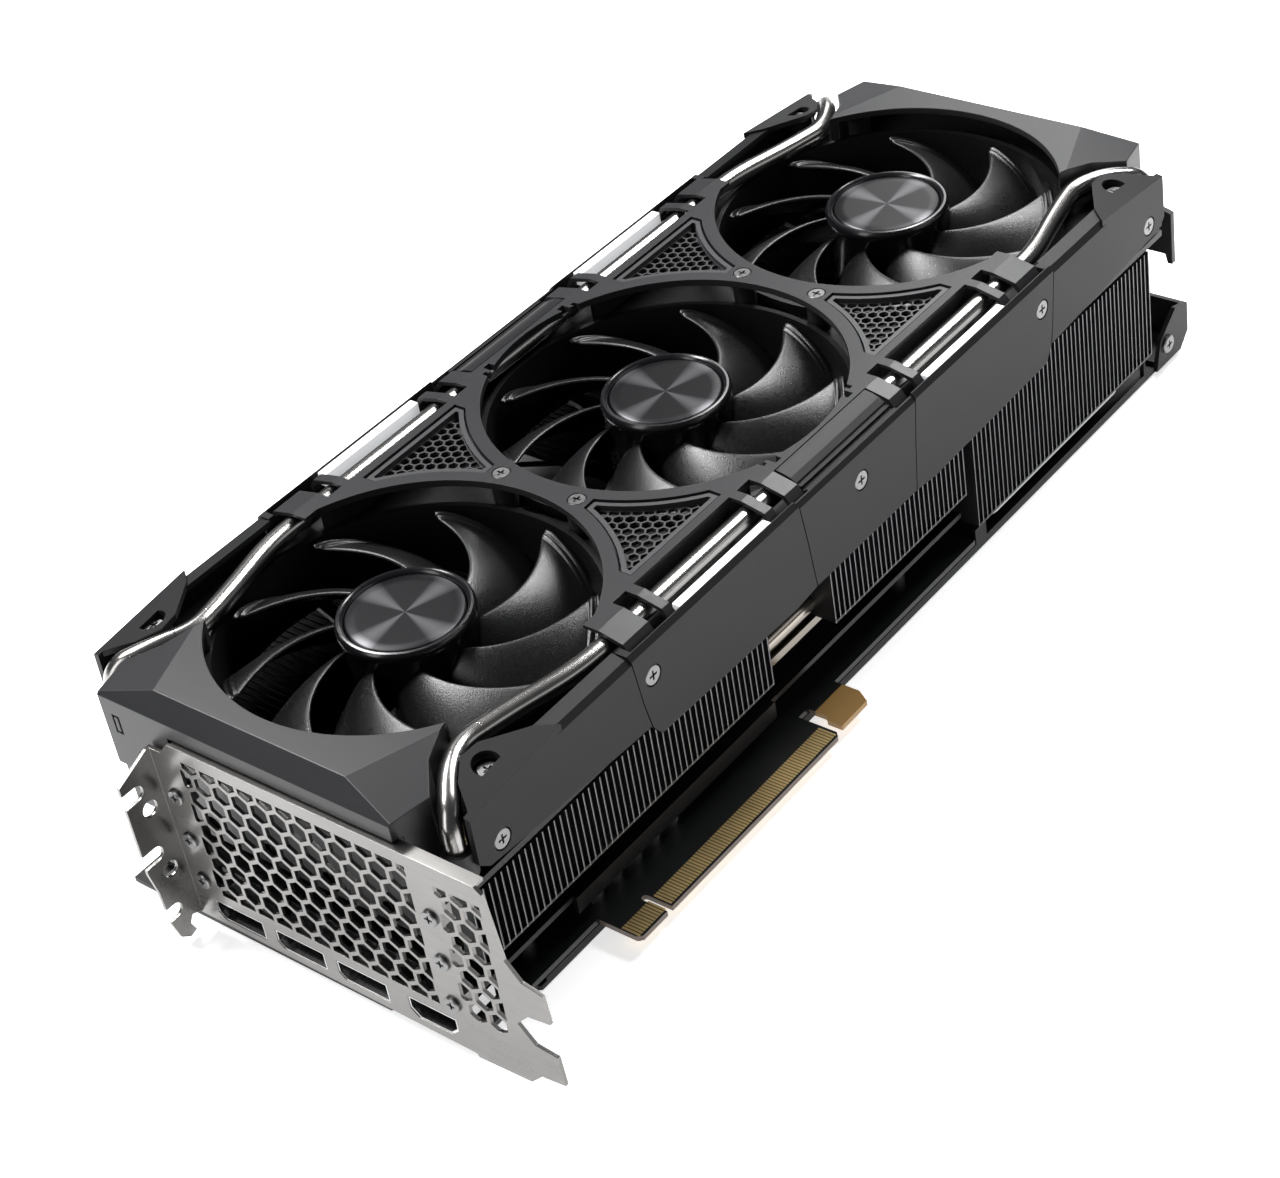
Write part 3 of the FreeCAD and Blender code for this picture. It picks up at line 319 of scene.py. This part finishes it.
def useGroup(tree, shader, group, bump, depth, **values):
    # places a shared effect and joins it to the shader
    node = addNode(tree, "ShaderNodeGroup", node_tree=group)
    for label, value in values.items():
        socket = node.inputs[label.replace("_", " ")]
        if socket.type == "RGBA":
            socket.default_value = (*value, 1)
        else:
            socket.default_value = value
    tree.links.new(node.outputs["Color"], shader.inputs["Base Color"])
    tree.links.new(node.outputs["Roughness"], shader.inputs["Roughness"])
    relief = addNode(tree, "ShaderNodeBump")
    relief.inputs["Strength"].default_value = bump
    relief.inputs["Distance"].default_value = depth
    tree.links.new(node.outputs["Height"], relief.inputs["Height"])
    tree.links.new(relief.outputs["Normal"], shader.inputs["Normal"])
    return node


def grainPaint(name, shade, roughness, bump=0.25, depth=0.00008, scale=3500.0, spread=0.1, drift=0.2,
               **more):
    paint, tree, shader = startMaterial(name, **more)
    useGroup(tree, shader, grainGroup, bump, depth, Shade=shade, Roughness=roughness,
             Spread=spread, Grain_Scale=scale, Drift=drift)
    return paint


def brushedPaint(name, shade, roughness, stretch, bump=0.12, depth=0.00004, spread=0.15, **more):
    paint, tree, shader = startMaterial(name, metallic=1.0, **more)
    useGroup(tree, shader, brushGroup, bump, depth, Shade=shade, Roughness=roughness, Stretch=stretch,
             Spread=spread)
    return paint


finEdges = {"pitch": 2.15, "bright": 0.17, "shine": (0.34, 0.34, 0.35), "wobble": 0.08,
            "starts": {"front": -155.9, "middle": -13.9, "rear": 53.5}}


def finPaint(name, start):
    # black-coated sheet whose sheared ends keep a thin bright line
    paint, tree, shader = startMaterial(name)
    group = useGroup(tree, shader, grainGroup, 0.15, 0.00005, Shade=(0.008, 0.008, 0.009), Roughness=0.4,
                     Spread=0.1, Grain_Scale=2500.0, Drift=0.3)
    coords = addNode(tree, "ShaderNodeTexCoord")
    split = addNode(tree, "ShaderNodeSeparateXYZ")
    tree.links.new(coords.outputs["Normal"], split.inputs[0])
    sideways = addRange(tree, addMath(tree, "ABSOLUTE", split.outputs["Y"], 0), 0.7, 0.95, 0.0, 1.0)
    place = addNode(tree, "ShaderNodeSeparateXYZ")
    tree.links.new(coords.outputs["Object"], place.inputs[0])
    drift = addNoise(tree, coords.outputs["Object"], 160.0)
    wobble = addMath(tree, "MULTIPLY", drift, finEdges["wobble"] * mm)
    along = addMath(tree, "ADD", addMath(tree, "SUBTRACT", place.outputs["X"], start * mm), wobble)
    within = addMath(tree, "FLOORED_MODULO", along, finEdges["pitch"] * mm)
    line = addMath(tree, "LESS_THAN", within, finEdges["bright"] * mm)
    edge = addMath(tree, "MULTIPLY", line, sideways)
    shade = mixColors(tree, edge, group.outputs["Color"], finEdges["shine"])
    tree.links.new(shade, shader.inputs["Base Color"])
    tree.links.new(edge, shader.inputs["Metallic"])
    return paint


# painted highlight on the hub discs: wedge count, turn, and the dark and light shades the colour swings
# between
discPaintedHighlight = {"wedges": 4, "turn": 0.5, "dark": (0.008, 0.008, 0.009), "light": (0.08, 0.08, 0.085)}


def discPaint(name, centre):
    # turned and anodised disc: fine grooves, and painted highlight wedges by angle round the axis, in
    # place of the turned face's sheen
    paint, tree, shader = startMaterial(name, metallic=0.75)
    group = useGroup(tree, shader, ringGroup, 0.2, 0.00002, Centre=centre, Shade=(1.0, 1.0, 1.0),
                     Roughness=0.36)
    spot = addNode(tree, "ShaderNodeTexCoord").outputs["Object"]
    split = addNode(tree, "ShaderNodeSeparateXYZ")
    tree.links.new(spot, split.inputs[0])
    across = addMath(tree, "SUBTRACT", split.outputs["X"], centre[0])
    up = addMath(tree, "SUBTRACT", split.outputs["Y"], centre[1])
    angle = addMath(tree, "ARCTAN2", up, across)
    # painted highlight: the colour swings between the dark and the light shade in wedges by angle
    wedged = addMath(tree, "MULTIPLY", angle, float(discPaintedHighlight["wedges"]))
    shifted = addMath(tree, "ADD", wedged, discPaintedHighlight["turn"])
    highlightMask = addRange(tree, addMath(tree, "COSINE", shifted, 0), 0.35, 1.0, 0.0, 1.0)
    paintedHighlight = mixColors(tree, highlightMask, discPaintedHighlight["dark"], discPaintedHighlight["light"])
    tint = addNode(tree, "ShaderNodeVectorMath", operation="MULTIPLY")
    tree.links.new(group.outputs["Color"], tint.inputs[0])
    tree.links.new(paintedHighlight, tint.inputs[1])
    tree.links.new(tint.outputs[0], shader.inputs["Base Color"])
    return paint


boardLook = {"hookFrom": -31.2, "hookOutside": -60.5, "plugOutside": -58.5,
             "laminate": (0.17, 0.125, 0.10), "hookTan": (0.46, 0.27, 0.09)}


def boardPaint(name):
    # black solder mask, bare laminate along the plugging edge and on the hook
    paint, tree, shader = startMaterial(name)
    group = useGroup(tree, shader, grainGroup, 0.3, 0.00006, Shade=(0.008, 0.009, 0.010), Roughness=0.34,
                     Spread=0.08, Grain_Scale=1400.0, Drift=0.4)
    spot = addNode(tree, "ShaderNodeTexCoord").outputs["Object"]
    split = addNode(tree, "ShaderNodeSeparateXYZ")
    tree.links.new(spot, split.inputs[0])
    behind = addMath(tree, "GREATER_THAN", split.outputs["X"], boardLook["hookFrom"] * mm)
    outside = addMath(tree, "LESS_THAN", split.outputs["Y"], boardLook["hookOutside"] * mm)
    hook = addMath(tree, "MULTIPLY", behind, outside)
    facing = addNode(tree, "ShaderNodeSeparateXYZ")
    tree.links.new(addNode(tree, "ShaderNodeTexCoord").outputs["Normal"], facing.inputs[0])
    flat = addRange(tree, addMath(tree, "ABSOLUTE", facing.outputs["Z"], 0), 0.5, 0.6, 0.0, 1.0)
    plugSide = addMath(tree, "LESS_THAN", split.outputs["Y"], boardLook["plugOutside"] * mm)
    edge = addMath(tree, "MULTIPLY", addMath(tree, "SUBTRACT", 1.0, flat), plugSide)
    cored = mixColors(tree, edge, group.outputs["Color"], boardLook["laminate"])
    tree.links.new(mixColors(tree, hook, cored, boardLook["hookTan"]), shader.inputs["Base Color"])
    return paint


paints = {
    "bracket_steel": brushedPaint("satinNickel", (0.22, 0.215, 0.207), 0.28, (900.0, 60.0, 900.0),
                                  bump=0.02, spread=0.03),
    "screw_steel": brushedPaint("screwSteel", (0.22, 0.22, 0.22), 0.34, (900.0, 900.0, 900.0), bump=0.03),
    "port_shell": brushedPaint("portShell", (0.62, 0.62, 0.62), 0.22, (70.0, 3000.0, 3000.0)),
    "port_plastic": grainPaint("portPlastic", (0.012, 0.012, 0.012), 0.4),
    "board_black": boardPaint("boardBlack"),
    "contact_gold": brushedPaint("contactGold", (0.95, 0.72, 0.33), 0.42, (400.0, 200.0, 400.0),
                                 bump=0.02, spread=0.05),
    "chip_black": grainPaint("chipBlack", (0.02, 0.02, 0.022), 0.5, scale=5000.0),
    "inductor_grey": grainPaint("inductorGrey", (0.03, 0.03, 0.032), 0.6, bump=0.4, scale=2600.0),
    "capacitor_can": brushedPaint("canAluminium", (0.7, 0.7, 0.72), 0.24, (900.0, 900.0, 90.0)),
    "backplate_black": grainPaint("backplateCoat", (0.005, 0.005, 0.0055), 0.42, bump=0.3, scale=2600.0,
                                  ior=1.3),
    "mid_frame_black": grainPaint("midFrameCoat", (0.005, 0.005, 0.0055), 0.36, bump=0.3, scale=2200.0,
                                  ior=1.35),
    "nickel": brushedPaint("nickelPlate", (0.34, 0.31, 0.27), 0.2, (90.0, 1400.0, 1400.0)),
    "thermal_pad": grainPaint("padGrey", (0.16, 0.18, 0.21), 0.8, bump=0.3, scale=1800.0),
    "fin_black": finPaint("finBlackFront", finEdges["starts"]["front"]),
    "tray_black": grainPaint("trayBlack", (0.005, 0.005, 0.0055), 0.4, ior=1.4),
    "motor_copper": brushedPaint("coilCopper", (0.55, 0.27, 0.11), 0.35, (200.0, 200.0, 6000.0)),
    "bearing_bronze": brushedPaint("bearingBronze", (0.5, 0.36, 0.2), 0.3, (900.0, 900.0, 90.0)),
    "magnet": grainPaint("magnetFerrite", (0.04, 0.04, 0.04), 0.6),
    "shaft_steel": brushedPaint("shaftSteel", (0.7, 0.7, 0.7), 0.15, (900.0, 900.0, 90.0)),
    "fan_plastic": grainPaint("bladePlastic", (0.005, 0.005, 0.0055), 0.31, bump=0.6, depth=0.00012,
                              scale=2400.0, spread=0.16),
    "lead_black": grainPaint("leadBlack", (0.01, 0.01, 0.01), 0.5),
    "shroud_black": grainPaint("shroudSatin", (0.016, 0.0162, 0.0175), 0.38, bump=0.22, scale=4200.0,
                               spread=0.06, ior=1.38),
    "mesh_black": grainPaint("meshSatin", (0.028, 0.028, 0.030), 0.4),
    "tube_gunmetal": brushedPaint("tubeGunmetal", (0.34, 0.33, 0.32), 0.24, (30.0, 300.0, 300.0), bump=0.0,
                                  spread=0.04),
    "socket_rubber": grainPaint("socketRubber", (0.010, 0.010, 0.010), 0.6),
    "hub_disc": grainPaint("discBlack", (0.03, 0.03, 0.03), 0.3),
    "light_diffuser": grainPaint("diffuserWhite", (0.86, 0.87, 0.88), 0.25, bump=0.1)}
diffuserGlow = {"shade": (0.95, 0.97, 1.0, 1), "strength": 0.35}
glow = paints["light_diffuser"].node_tree.nodes["Principled BSDF"]
glow.inputs["Emission Color"].default_value = diffuserGlow["shade"]
glow.inputs["Emission Strength"].default_value = diffuserGlow["strength"]
# painted shade: a darker copy of the housing satin for the side and corner panels, so the sides read
# darker than the deck
shadedSidePaint = grainPaint("sideSatin", (0.010, 0.010, 0.0108), 0.44, bump=0.16, scale=4200.0, spread=0.05,
                       ior=1.27)
hubRimPaint = grainPaint("hubRimGloss", (0.005, 0.005, 0.006), 0.24, bump=0.08, coat=0.2)
print("materials made:", len(paints))

slotOf = {row["node"]: row["material_slot"] for row in frame["record"]["subparts"]}


def paintNode(name, paint):
    mesh = nodes[name].data
    mesh.materials.clear()
    mesh.materials.append(paint)


for name in nodes:
    paintNode(name, paints[slotOf[name]])
for place in ("middle", "rear"):
    paintNode("fin_stack_" + place, finPaint("finBlack" + place.capitalize(), finEdges["starts"][place]))


# modelling helpers

weld = 0.00001
easing = {"merge": 0.000002, "flat": 0.4, "segments": 2, "edge": 11, "smooth": 42, "weight": 90}


def onlySelect(piece):
    if bpy.context.object and bpy.context.object.mode != "OBJECT":
        bpy.ops.object.mode_set(mode="OBJECT")
    bpy.ops.object.select_all(action="DESELECT")
    piece.hide_viewport = False
    piece.select_set(True)
    bpy.context.view_layer.objects.active = piece


def applyAll(piece):
    onlySelect(piece)
    for modifier in list(piece.modifiers):
        bpy.ops.object.modifier_apply(modifier=modifier.name)


def settle(piece, body, paint, smooth=30):
    # a finished piece: at the origin, shaded by angle, on its body
    onlySelect(piece)
    bpy.ops.object.transform_apply(location=True, rotation=True, scale=True)
    bpy.ops.object.shade_smooth_by_angle(angle=math.radians(smooth))
    piece.data.materials.clear()
    piece.data.materials.append(paint)
    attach(piece, body)


def evenOut(piece):
    # keeps wide faces flat and turns the light only on their eased edges
    weighted = piece.modifiers.new("even", "WEIGHTED_NORMAL")
    weighted.keep_sharp = True
    weighted.weight = easing["weight"]
    applyAll(piece)


def softenedCopy(name, pieceName, width):
    # a CAD part's own shape with its edges eased, as a mould or a press leaves them
    source = nodes[name]
    onlySelect(source)
    bpy.ops.object.duplicate()
    piece = bpy.context.object
    piece.name = pieceName
    piece.parent = None
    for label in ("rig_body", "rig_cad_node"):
        if label in piece:
            del piece[label]
    onlySelect(piece)
    bpy.ops.object.mode_set(mode="EDIT")
    bpy.ops.mesh.select_all(action="SELECT")
    bpy.ops.mesh.remove_doubles(threshold=easing["merge"])
    bpy.ops.mesh.dissolve_limited(angle_limit=math.radians(easing["flat"]))
    bpy.ops.object.mode_set(mode="OBJECT")
    bevel = piece.modifiers.new("ease", "BEVEL")
    bevel.width = width
    bevel.segments = easing["segments"]
    bevel.limit_method = "ANGLE"
    bevel.angle_limit = math.radians(easing["edge"])
    applyAll(piece)
    # side and corner panels take the darker copy of the satin: painted shade on the sides
    paint = shadedSidePaint if "_panel_" in name else paints[slotOf[name]]
    settle(piece, mainBody, paint, easing["smooth"])
    evenOut(piece)
    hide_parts(name)


easedParts = {
    "front_cap": 0.35, "rear_cap": 0.35, "centre_frame": 0.22, "io_bracket": 0.28, "backplate": 0.25,
    "end_bracket": 0.25, "light_bars": 0.3,
    "corner_panel_front_near": 0.25, "corner_panel_front_far": 0.25, "corner_panel_rear_near": 0.25,
    "corner_panel_rear_far": 0.25, "side_panel_front_near": 0.25, "side_panel_front_far": 0.25,
    "side_panel_middle_near": 0.25, "side_panel_middle_far": 0.25, "side_panel_rear_near": 0.25,
    "side_panel_rear_far": 0.25, "grille_inserts": 0.12}


def pieceNameOf(name):
    words = name.split("_")
    return words[0] + "".join(word.capitalize() for word in words[1:]) + "Shell"


for name, width in easedParts.items():
    softenedCopy(name, pieceNameOf(name), width * mm)
print("housing parts eased:", len(easedParts))


# trim tubes

tubeShape = {
    "route": [(12.4, -56.0, 52.0), (12.4, -56.0, 65.6), (21.5, -48.4, 68.4), (31.0, -43.6, 68.4),
              (45.0, -46.2, 68.4), (66.0, -51.6, 68.4)],
    "middle": 165.9, "radius": 2.78, "fill": 0.45, "longest": 8.0, "steps": 14, "sides": 10}


def tubeBends():
    # each bend as two curve points, with handles that follow its arc
    say = tubeShape
    near = [Vector((x - say["middle"], y, z)) for x, y, z in say["route"]]
    points = near + [Vector((-p.x, p.y, p.z)) for p in reversed(near)]
    bends = [(points[0], points[0], points[0])]
    for before, corner, after in zip(points, points[1:], points[2:]):
        into = (corner - before).normalized()
        out = (after - corner).normalized()
        turn = into.angle(out)
        reach = min(min((corner - before).length, (after - corner).length) * say["fill"], say["longest"])
        grip = 4 / 3 * math.tan(turn / 4) * reach / math.tan(turn / 2)
        start, end = corner - into * reach, corner + out * reach
        bends.append((start - into * grip, start, start + into * grip))
        bends.append((end - out * grip, end, end + out * grip))
    return bends + [(points[-1], points[-1], points[-1])]


def makeTube(pieceName, name, side):
    bpy.ops.object.select_all(action="DESELECT")
    bpy.ops.curve.primitive_bezier_curve_add(location=(0, 0, 0))
    piece = bpy.context.object
    piece.name = pieceName
    spline = piece.data.splines[0]
    bends = tubeBends()
    spline.bezier_points.add(len(bends) - 2)
    for knot, (left, middle, right) in zip(spline.bezier_points, bends):
        knot.handle_left_type = knot.handle_right_type = "FREE"
        for label, point in (("handle_left", left), ("co", middle), ("handle_right", right)):
            setattr(knot, label, Vector((point.x, point.y * side, point.z)) * mm)
    curve = piece.data
    curve.dimensions = "3D"
    curve.resolution_u = tubeShape["steps"]
    curve.bevel_depth = tubeShape["radius"] * mm
    curve.bevel_resolution = tubeShape["sides"]
    curve.use_fill_caps = True
    onlySelect(piece)
    bpy.ops.object.convert(target="MESH")
    piece = bpy.context.object
    onlySelect(piece)
    bpy.ops.object.mode_set(mode="EDIT")
    bpy.ops.mesh.select_all(action="SELECT")
    bpy.ops.mesh.remove_doubles(threshold=weld)
    bpy.ops.mesh.normals_make_consistent(inside=False)
    bpy.ops.object.mode_set(mode="OBJECT")
    settle(piece, mainBody, paints["tube_gunmetal"], 50)
    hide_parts(name)


makeTube("trimTubeNear", "tube_near", 1)
makeTube("trimTubeFar", "tube_far", -1)
print("tubes made")


# fans

hubShape = {
    "profile": [(15.2, 68.2), (15.5, 69.3), (15.9, 69.9), (16.4, 70.2), (17.0, 70.1), (17.5, 69.5),
                (17.7, 68.4), (17.6, 67.2), (17.2, 66.6), (17.2, 47.2), (16.0, 47.2), (16.0, 65.0),
                (14.0, 65.6)],
    "disc": [(0.02, 69.45), (3.0, 69.45), (12.0, 69.5), (14.6, 69.5), (14.9, 69.35), (15.2, 68.9),
             (15.2, 68.2)],
    "steps": 96}


def turned(pieceName, profile, centre, steps):
    # a profile spun round an upright axis
    bpy.ops.object.select_all(action="DESELECT")
    bpy.ops.mesh.primitive_plane_add(size=0.001, location=(0, 0, 0))
    piece = bpy.context.object
    piece.name = pieceName
    r, z = profile[0]
    bpy.ops.object.mode_set(mode="EDIT")
    bpy.ops.mesh.select_all(action="SELECT")
    bpy.ops.mesh.merge(type="CENTER")
    bpy.ops.transform.translate(value=(centre.x + r * mm, centre.y, z * mm))
    for nextR, nextZ in profile[1:]:
        step = ((nextR - r) * mm, 0, (nextZ - z) * mm)
        bpy.ops.mesh.extrude_region_move(TRANSFORM_OT_translate={"value": step})
        r, z = nextR, nextZ
    bpy.ops.mesh.select_all(action="SELECT")
    bpy.ops.mesh.spin(steps=steps, angle=2 * math.pi, center=(centre.x, centre.y, 0), axis=(0, 0, 1))
    bpy.ops.mesh.select_all(action="SELECT")
    bpy.ops.mesh.remove_doubles(threshold=weld)
    bpy.ops.mesh.normals_make_consistent(inside=False)
    bpy.ops.object.mode_set(mode="OBJECT")
    return piece


bladeShape = {"count": 9, "root": 16.9, "tip": 47.4, "rows": 15, "columns": 10, "sweepPerMm": 1.45,
              "rootChord": 11.5, "tipChord": 27.0, "rootDrop": 14.5, "tipDrop": 12.5,
              "top": 64.2, "bulge": 0.16, "thickness": 1.15, "sweepFrom": 17.3, "phase": -6.8,
              "noseFrom": 0.86, "nosePull": 3.0, "ridgeFrom": 43.4, "ridgeRows": 7, "ridgeAt": (1, 4),
              "ridgeRise": 1.3, "ridgeReach": 0.7}


def bladeRadius(row):
    # rows stand closer together near the tip, where the two ridges are
    say = bladeShape
    inner = say["rows"] - say["ridgeRows"]
    if row <= inner:
        return say["root"] + (say["ridgeFrom"] - say["root"]) * row / inner
    return say["ridgeFrom"] + (say["tip"] - say["ridgeFrom"]) * (row - inner) / say["ridgeRows"]


def bladePoint(row, column):
    say = bladeShape
    r = bladeRadius(row)
    u = (r - say["root"]) / (say["tip"] - say["root"])
    t = column / say["columns"]
    chord = say["rootChord"] + (say["tipChord"] - say["rootChord"]) * u
    drop = say["rootDrop"] + (say["tipDrop"] - say["rootDrop"]) * u
    half = math.degrees(chord / 2 / r)
    angle = math.radians(say["sweepPerMm"] * (r - say["sweepFrom"]) - half + half * (1 - 2 * t))
    z = say["top"] - drop * t + say["bulge"] * drop * 4 * t * (1 - t)
    # nose drawn back a little at the leading tip
    pull = max(0.0, u - say["noseFrom"]) / (1 - say["noseFrom"])
    angle -= math.radians(say["nosePull"]) * pull * pull * (1 - t)
    return Vector((r * math.cos(angle) * mm, r * math.sin(angle) * mm, z * mm))


def ridgeRise(row, column):
    # two thin parallel ridges that start at the leading tip and die away behind it
    say = bladeShape
    fromTip = say["rows"] - row
    if fromTip not in say["ridgeAt"]:
        return 0
    t = column / say["columns"]
    fade = max(0.0, 1 - t / say["ridgeReach"])
    nose = min(1.0, 0.35 + t * 6)
    return say["ridgeRise"] * math.sqrt(fade) * nose * mm


def makeBlade(pieceName):
    say = bladeShape
    bpy.ops.object.select_all(action="DESELECT")
    bpy.ops.mesh.primitive_grid_add(x_subdivisions=say["columns"], y_subdivisions=say["rows"], size=1)
    blade = bpy.context.object
    blade.name = pieceName
    for vertex in blade.data.vertices:
        column = round((vertex.co.x + 0.5) * say["columns"])
        row = round((vertex.co.y + 0.5) * say["rows"])
        place = bladePoint(row, column)
        place.z += ridgeRise(row, column)
        vertex.co = place
    wall = blade.modifiers.new("wall", "SOLIDIFY")
    wall.thickness = say["thickness"] * mm
    wall.offset = 0
    rounding = blade.modifiers.new("rounding", "SUBSURF")
    rounding.levels = 2
    rounding.render_levels = 2
    applyAll(blade)
    bpy.ops.object.mode_set(mode="EDIT")
    bpy.ops.mesh.select_all(action="SELECT")
    bpy.ops.mesh.normals_make_consistent(inside=False)
    bpy.ops.object.mode_set(mode="OBJECT")
    return blade


def copyTurned(piece, degrees, centre, pieceName):
    # the piece's own copy, turned round the fan's axis
    onlySelect(piece)
    bpy.ops.object.duplicate(linked=False)
    copy = bpy.context.object
    copy.name = pieceName
    turn = Matrix.Rotation(math.radians(degrees), 4, "Z")
    copy.data.transform(Matrix.Translation((centre.x, centre.y, 0)) @ turn)
    return copy


def joinInto(first, others):
    onlySelect(first)
    for other in others:
        other.select_set(True)
    bpy.ops.object.join()
    return first


def makeFans():
    pattern = makeBlade("bladePattern")
    count = bladeShape["count"]
    turns = [bladeShape["phase"] + 360 / count * k for k in range(count)]
    for number, (spot, body) in enumerate(zip(fanSpots, fanBodies), 1):
        hub = turned("fanHub%d" % number, hubShape["profile"], spot, hubShape["steps"])
        settle(hub, body, hubRimPaint, 40)
        blades = [copyTurned(pattern, turn, spot, "fanBlade") for turn in turns]
        wheel = joinInto(blades[0], blades[1:])
        wheel.name = "fanBlades%d" % number
        settle(wheel, body, paints["fan_plastic"], 50)
        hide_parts("fan_rotor_%d" % number)
        disc = turned("hubDisc%d" % number, hubShape["disc"], spot, hubShape["steps"])
        settle(disc, body, discPaint("turnedDisc%d" % number, (spot.x, spot.y, 0)), 40)
        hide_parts("hub_cap_%d" % number)
    bpy.data.objects.remove(pattern)


makeFans()
print("fans made")
